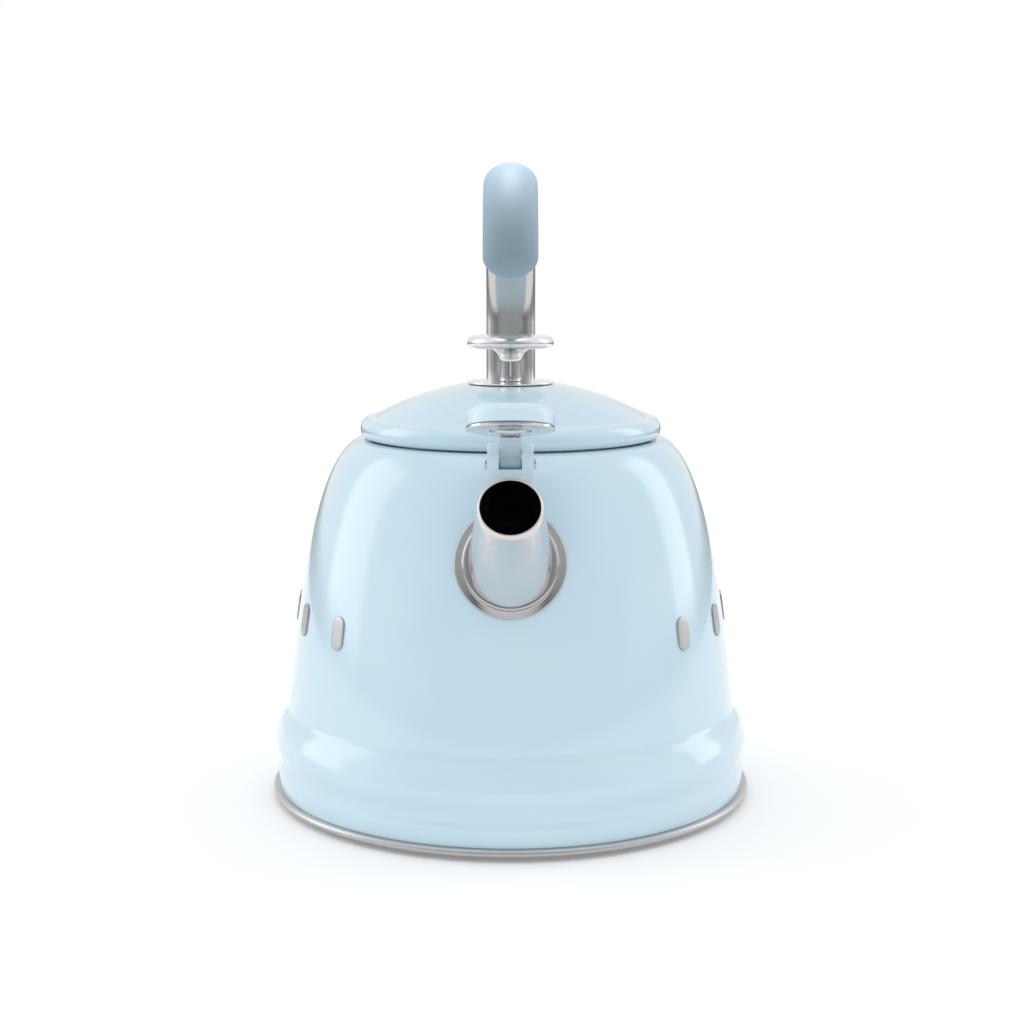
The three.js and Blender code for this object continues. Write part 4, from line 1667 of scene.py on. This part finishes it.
@dataclass
class Handle:
    """Steel strap tube that arches over the lid, with a moulded grip."""

    width: float = 20.3
    thickness: float = 10.5
    grip_width: float = 18.8
    grip_thickness: float = 15.0
    foot_bend: float = 60.0
    rear_bend: float = 52.0
    front_bend: float = 30.0
    front_reach: float = 12.0
    front_sweep: float = 80.0
    grip_start: float = 47.0
    nose: float = 7.4
    foot_drop: float = 30.2
    foot_width: float = 25.0
    foot_tall: float = 50.0
    foot_rise: float = 2.3
    foot_gap: float = 0.3
    wall_gap: float = 1.2
    spacing: float = 1.2
    rivet_seat: float = 2.6
    rivet_head: float = 3.3
    rivet_rise: float = 1.5
    rivet_edge: float = 0.15
    rivet_shank: float = 1.9
    rivet_grip: float = 3.2
    rivet_tail: float = 1.0

    def __post_init__(self) -> None:
        """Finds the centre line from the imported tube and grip."""
        self.reach = high_of("handle_tube").y - self.thickness / 2
        self.top = high_of("handle_grip").z - self.grip_thickness / 2
        self.upright_top = self.top - self.rear_bend
        self.saddle = WALL.shoulder_height - self.foot_drop
        cosine = 1 - (self.reach - WALL.radius(self.saddle)) / self.foot_bend
        self.foot_angle = math.acos(cosine)
        self.upright_bottom = self.saddle + self.foot_bend * math.sin(self.foot_angle)

    def centre_line(self, past_wall: float, rear: Pair, front: float | None) -> list[Pair]:
        """Points along the middle of the handle, none of them twice.

        Args:
            past_wall: Degrees of foot bend beyond the wall, or a negative number for none.
            rear: First and last angle of the rear bend in degrees.
            front: Degrees of the front bend, or None to stop at the rear bend.

        Returns:
            Y and Z of each point in millimetres.
        """
        points = []
        if past_wall >= 0:
            start = -math.degrees(self.foot_angle) - past_wall
            centre = (self.reach - self.foot_bend, self.upright_bottom)
            points += arc(centre, self.foot_bend, self.foot_bend, start, 0, 40)
        centre = (self.reach - self.rear_bend, self.upright_top)
        points += arc(centre, self.rear_bend, self.rear_bend, rear[0], rear[1], 36)
        if front is not None:
            rear_end = self.reach - self.rear_bend
            for i in range(1, 30):
                points.append((rear_end + (-self.front_reach - rear_end) * i / 30, self.top))
            centre = (-self.front_reach, self.top - self.front_bend)
            points += arc(centre, self.front_bend, self.front_bend, 90, 90 + front, 30)
        return without_twins(points)

    def build(self) -> None:
        """Builds the tube, the foot plate, its rivets and the grip."""
        self.tube()
        self.foot()
        self.rivets()
        self.grip()
        dress("grip_screw", MIRROR_STEEL)

    def tube(self) -> None:
        """Flattened steel tube from the wall to inside the grip."""
        points = self.centre_line(6.0, (0.0, self.grip_start + 2.0), None)
        curve = bpy.data.curves.new("handle_path", "CURVE")
        curve.dimensions = "3D"
        line = curve.splines.new("POLY")
        line.points.add(len(points) - 1)
        for point, (y, z) in zip(line.points, points):
            point.co = (0.0, y * MM, z * MM, 1.0)
        values = {
            "Width": self.width * MM,
            "Thickness": self.thickness * MM,
            "Spacing": self.spacing * MM,
        }
        piece = sweep_tool().run("handle_tube_bent", curve, values, HANDLE_STEEL)
        cut(piece, WALL.core(self.wall_gap))
        shade(piece.data, 40.0)
        stand_for(piece, Rides.KETTLE, ["handle_tube"])

    def foot(self) -> None:
        """Oval plate pressed to the curve of the wall."""
        stand = WALL.stand(180.0, self.saddle)
        half_w, half_t = self.foot_width / 2, self.foot_tall / 2
        gap, rise = self.foot_gap, self.foot_rise
        profile = [(1.0, gap), (1.0, 1.5), (0.985, 2.0), (0.955, 2.25)]
        profile += [(share, rise) for share in (0.9, 0.7, 0.45, 0.2)]
        made = Builder()

        def ring(share: float, above: float) -> list[Vector]:
            """One oval row at a height over the wall."""
            inset = (1 - share) * min(half_w, half_t)
            wide, tall = half_w - inset, half_t - inset
            return [WALL.onto(stand, wide * c, tall * s, above) for c, s in circle(96)]

        rows = [made.row(ring(share, above)) for share, above in profile]
        under = [made.row(ring(share, gap)) for share in (0.7, 0.3)]
        made.skin(rows)
        made.lid(rows[-1])
        made.skin([rows[0], *under])
        made.lid(under[1])
        piece = made.finish("handle_foot_pressed", [HANDLE_STEEL])
        stand_for(piece, Rides.KETTLE, ["handle_foot"])

    def rivets(self) -> None:
        """Two domed rivets through the foot, copied by the node tool."""
        tool = around_tool()
        head, shank, edge = self.rivet_head, self.rivet_shank, self.rivet_edge
        back, foot, shoulder = -self.rivet_grip, -self.rivet_grip - self.rivet_tail, 0.35
        dome = arc((0.0, shoulder), head, self.rivet_rise - shoulder, 0, 90, 10)
        profile = [(0.0, foot), (head, foot), (head, back), (shank, back), (shank, 0.0)]
        profile += [(head - edge, 0.0), (head, edge), *dome[:-1], (0.0, self.rivet_rise)]
        rivet = lathe(profile, 48).finish("rivet_shape", [MIRROR_STEEL])
        for node in ("handle_rivet_upper", "handle_rivet_lower"):
            values = seated(node, self.rivet_seat) | {
                "Piece": rivet,
                "Count": 1,
                "First Angle": math.pi,
                "Pitch": 0.0,
            }
            base = bpy.data.meshes.new("rivet_base")
            piece = tool.run(node + "_domed", base, values, MIRROR_STEEL)
            stand_for(piece, Rides.KETTLE, [node])
        bpy.data.objects.remove(rivet)

    def grip(self) -> None:
        """Oval moulded grip with a rounded nose and a soft rear edge."""
        line = self.centre_line(-1.0, (self.grip_start + 0.7, 90.0), self.front_sweep)
        made = Builder()
        half_w, half_t = self.grip_width / 2, self.grip_thickness / 2

        def further(point: Pair, along: Vector, step: float) -> Pair:
            """Point a step along the line."""
            return point[0] + along.y * step, point[1] + along.z * step

        def ring(point: Pair, along: Vector, share: float) -> list[bmesh.types.BMVert]:
            """One oval row square to the line."""
            middle = Vector((0.0, *point))
            across = Vector((0.0, along.z, -along.y))
            return made.row(
                middle + Vector((half_w * share * c, 0.0, 0.0)) + across * (half_t * share * s)
                for c, s in circle(72)
            )

        rows = []
        last = len(line) - 1
        for i, point in enumerate(line):
            ahead, behind = line[min(i + 1, last)], line[max(i - 1, 0)]
            along = Vector((0.0, ahead[0] - behind[0], ahead[1] - behind[1])).normalized()
            if i == 0:
                rows.append(ring(point, along, 0.955))
                rows.append(ring(further(point, along, 0.35), along, 0.992))
            else:
                rows.append(ring(point, along, 1.0))
        end = line[-1]
        for share, rise in arc((0.0, 0.0), 1.0, self.nose, 0, 90, 14)[1:-1]:
            rows.append(ring(further(end, along, rise), along, share))
        tip = made.row([(0.0, *further(end, along, self.nose))])
        made.skin([*rows, tip])
        made.lid(rows[0])
        piece = made.finish("handle_grip_moulded", [GRIP_PLASTIC], 45.0)
        stand_for(piece, Rides.KETTLE, ["handle_grip"])


@dataclass
class SideTiles:
    """Plain steel tiles on both sides of the body."""

    count: int = 4
    first: float = 49.3
    pitch: float = 20.0
    wide: float = 6.2
    tall: float = 11.6
    gap: float = 0.3
    sheet: float = 0.4
    wall_height: float = 68.0

    def build(self) -> None:
        """Places the tiles of each side with the node tool."""
        nodes = [n for n in frame["nodes"] if n.startswith("side_mark_")]
        shape = self.tile()
        tool = around_tool()
        seat = seated("side_mark_right_1", self.gap)
        for side, sign in (("right", 1.0), ("left", -1.0)):
            values = seat | {
                "Piece": shape,
                "Count": self.count,
                "First Angle": math.radians(sign * self.first),
                "Pitch": math.radians(sign * self.pitch),
            }
            base = bpy.data.meshes.new("tile_base")
            piece = tool.run(f"side_tiles_{side}", base, values, TILE_STEEL)
            mine = [n for n in nodes if f"_{side}_" in n]
            stand_for(piece, Rides.KETTLE, mine)
        bpy.data.objects.remove(shape)

    def tile(self) -> bpy.types.Object:
        """One stadium tile that faces +Z, bent to the wall.

        Returns:
            A scratch object.
        """
        radius = self.wide / 2
        straight = self.tall / 2 - radius
        bend = WALL.radius(self.wall_height)
        made = Builder()
        count = 48

        def ring(inset: float, above: float) -> list[Vector]:
            """One stadium row."""
            r = radius - inset
            points = []
            for i, (c, s) in enumerate(circle(count)):
                x = r * c
                y = r * s + (straight if i < count / 2 else -straight)
                points.append(Vector((x, y, above - x * x / (2 * bend) - 0.1 * (y / 6.0) ** 2)))
            return points

        top = self.sheet
        heights = [(0.0, -0.1), (0.0, 0.25), (0.08, 0.36), (0.22, top), (1.2, top), (2.4, top)]
        rows = [made.row(ring(inset, above)) for inset, above in heights]
        made.skin(rows)
        made.lid(rows[-1])
        made.lid(rows[0])
        return made.finish("tile_shape", [TILE_STEEL])


# ---------------------------------------------------------------- studio


@dataclass
class Studio:
    """White floor, graded surroundings, soft boxes and the camera."""

    lens: float = 62.47
    camera_place: tuple[float, float, float] = (0.0005, -0.645, 0.1999)
    camera_drop: float = 8.54
    floor_radius: float = 0.8
    level: float = 0.93
    front_from: float = 0.25
    front_drop: float = 0.5
    card_drop: float = 0.17
    low_drop: float = 0.68
    left_strip: float = 1.3
    right_strip: float = 1.4

    def build(self) -> None:
        """Builds floor, world, lights and camera."""
        self.floor()
        self.world()
        self.lights()
        self.camera()
        screen = bpy.context.scene.view_settings
        screen.view_transform = "Standard"
        screen.look = "None"

    def floor(self) -> None:
        """Round white floor."""
        made = Builder()
        radius = self.floor_radius / MM
        made.lid(made.row((radius * c, radius * s, 0.0) for c, s in circle(128)))
        piece = made.finish("floor", [FLOOR_PAINT])

    def world(self) -> None:
        """Surroundings that look plain white but are graded for everything that mirrors them."""
        world = bpy.data.worlds.new("studio")
        world.use_nodes = True
        bpy.context.scene.world = world
        recipe = Recipe(world.node_tree)
        world.node_tree.nodes.clear()
        direction = recipe.add("ShaderNodeTexCoord").outputs["Generated"]
        parts = recipe.add("ShaderNodeSeparateXYZ", Vector=direction)
        x, y, z = (recipe.number(parts.outputs[axis]) for axis in "XYZ")
        front = (-1.0 * y).between(self.front_from, 0.95)
        low = 1.0 - z.between(-0.06, 0.0)
        near_level = 1.0 - abs(z).between(0.12, 0.3)
        card = y.between(0.2, 0.5) * abs(x).band(0.1, 0.18, 0.26, 0.36)
        left = (-1.0 * x).between(0.2, 0.5) * y.band(-0.12, 0.0, 0.42, 0.5)
        right = x.between(0.2, 0.5) * y.band(0.1, 0.22, 0.45, 0.52)
        upright = z.band(-0.12, 0.0, 0.6, 0.75)
        strips = (left * self.left_strip + right * self.right_strip) * upright
        level = self.level - front * self.front_drop - card * near_level * self.card_drop + strips
        level = level * (1.0 - low * self.low_drop)
        seen = recipe.add("ShaderNodeLightPath").outputs["Is Camera Ray"]
        surroundings = recipe.add("ShaderNodeBackground", Color=(1, 1, 1, 1), Strength=level)
        plain = recipe.add("ShaderNodeBackground", Color=(1, 1, 1, 1), Strength=1.0)
        mix = recipe.add("ShaderNodeMixShader")
        recipe.feed(mix.inputs[0], seen)
        recipe.feed(mix.inputs[1], surroundings.outputs[0])
        recipe.feed(mix.inputs[2], plain.outputs[0])
        out = recipe.add("ShaderNodeOutputWorld")
        recipe.feed(out.inputs[0], mix.outputs[0])

    def lights(self) -> None:
        """A top box over everything, one behind for the grip and a front fill for the enamel."""
        self.box("top_box", (0.0, -0.1, 1.9), (0.0, 0.0, 0.1), 1.6, 1.6, 3.0)
        glow = self.box("handle_box", (0.0, 0.25, 0.95), (0.0, 0.0, 0.22), 0.35, 0.35, 7.0)
        self.only(glow, ["handle_grip_moulded"])
        fill = self.box("enamel_box", (0.0, -1.3, 0.5), (0.0, 0.0, 0.08), 1.2, 0.9, 5.0)
        fill.visible_glossy = False
        names = ("body_enamel", "lid_enamel", "whistle_cap_moulded", "whistle_bracket_moulded")
        self.only(fill, names)

    def only(self, light: bpy.types.Object, names: Sequence[str]) -> None:
        """Keeps a light to some pieces.

        Args:
            light: The light.
            names: The pieces that it lights.
        """
        lit = bpy.data.collections.new(light.name + "_lit")
        for name in names:
            lit.objects.link(bpy.data.objects[name])
        light.light_linking.receiver_collection = lit

    def box(
        self,
        name: str,
        place: tuple[float, float, float],
        target: tuple[float, float, float],
        wide: float,
        tall: float,
        power: float,
    ) -> bpy.types.Object:
        """One soft box.

        Args:
            name: Name of the light.
            place: Where it stands, in metres.
            target: Point that it faces.
            wide: Its width.
            tall: Its height.
            power: Its power in watts.

        Returns:
            The light's object.
        """
        light = bpy.data.lights.new(name, "AREA")
        light.shape = "RECTANGLE"
        light.size, light.size_y = wide, tall
        light.energy = power
        holder = bpy.data.objects.new(name, light)
        holder.location = place
        aim = Vector(target) - Vector(place)
        holder.rotation_euler = aim.to_track_quat("-Z", "Y").to_euler()
        bpy.context.scene.collection.objects.link(holder)
        return holder

    def camera(self) -> None:
        """Camera a little above the lid, tipped down at the kettle."""
        lens = bpy.data.cameras.new("studio_camera")
        lens.lens = self.lens
        lens.sensor_width = 36.0
        lens.clip_start = 0.01
        holder = bpy.data.objects.new("studio_camera", lens)
        holder.location = self.camera_place
        holder.rotation_euler = (math.radians(90.0 - self.camera_drop), 0.0, 0.0)
        bpy.context.scene.collection.objects.link(holder)
        bpy.context.scene.camera = holder


@dataclass(frozen=True)
class FloorPaint(Finish):
    """Matt white studio floor that glows a little, so that only contact shadows show."""

    name: str
    colour: Colour
    glow: float

    def fill(self, recipe: Recipe, shader: bpy.types.Node) -> None:
        """Wires a faint unevenness."""
        recipe.wire(
            shader,
            Base_Color=(*self.colour, 1.0),
            Roughness=0.85 + recipe.noise(recipe.place(), 3.0, 2.0) * 0.1,
            Specular_IOR_Level=0.1,
            Emission_Color=(1.0, 1.0, 1.0, 1.0),
            Emission_Strength=self.glow,
        )


FLOOR_PAINT = FloorPaint("floor_paint", (0.93, 0.93, 0.93), 0.14)


def main() -> None:
    """Builds the kettle and its studio in order."""
    logging.basicConfig(level=logging.INFO, format="%(message)s")
    Base().build()
    spout = Spout()
    Body().build(spout.bore)
    spout.build()
    Whistle().build(spout)
    Lid().build()
    Knob().build()
    Handle().build()
    SideTiles().build()
    Studio().build()
    bpy.context.view_layer.update()


if __name__ == "__main__":
    main()
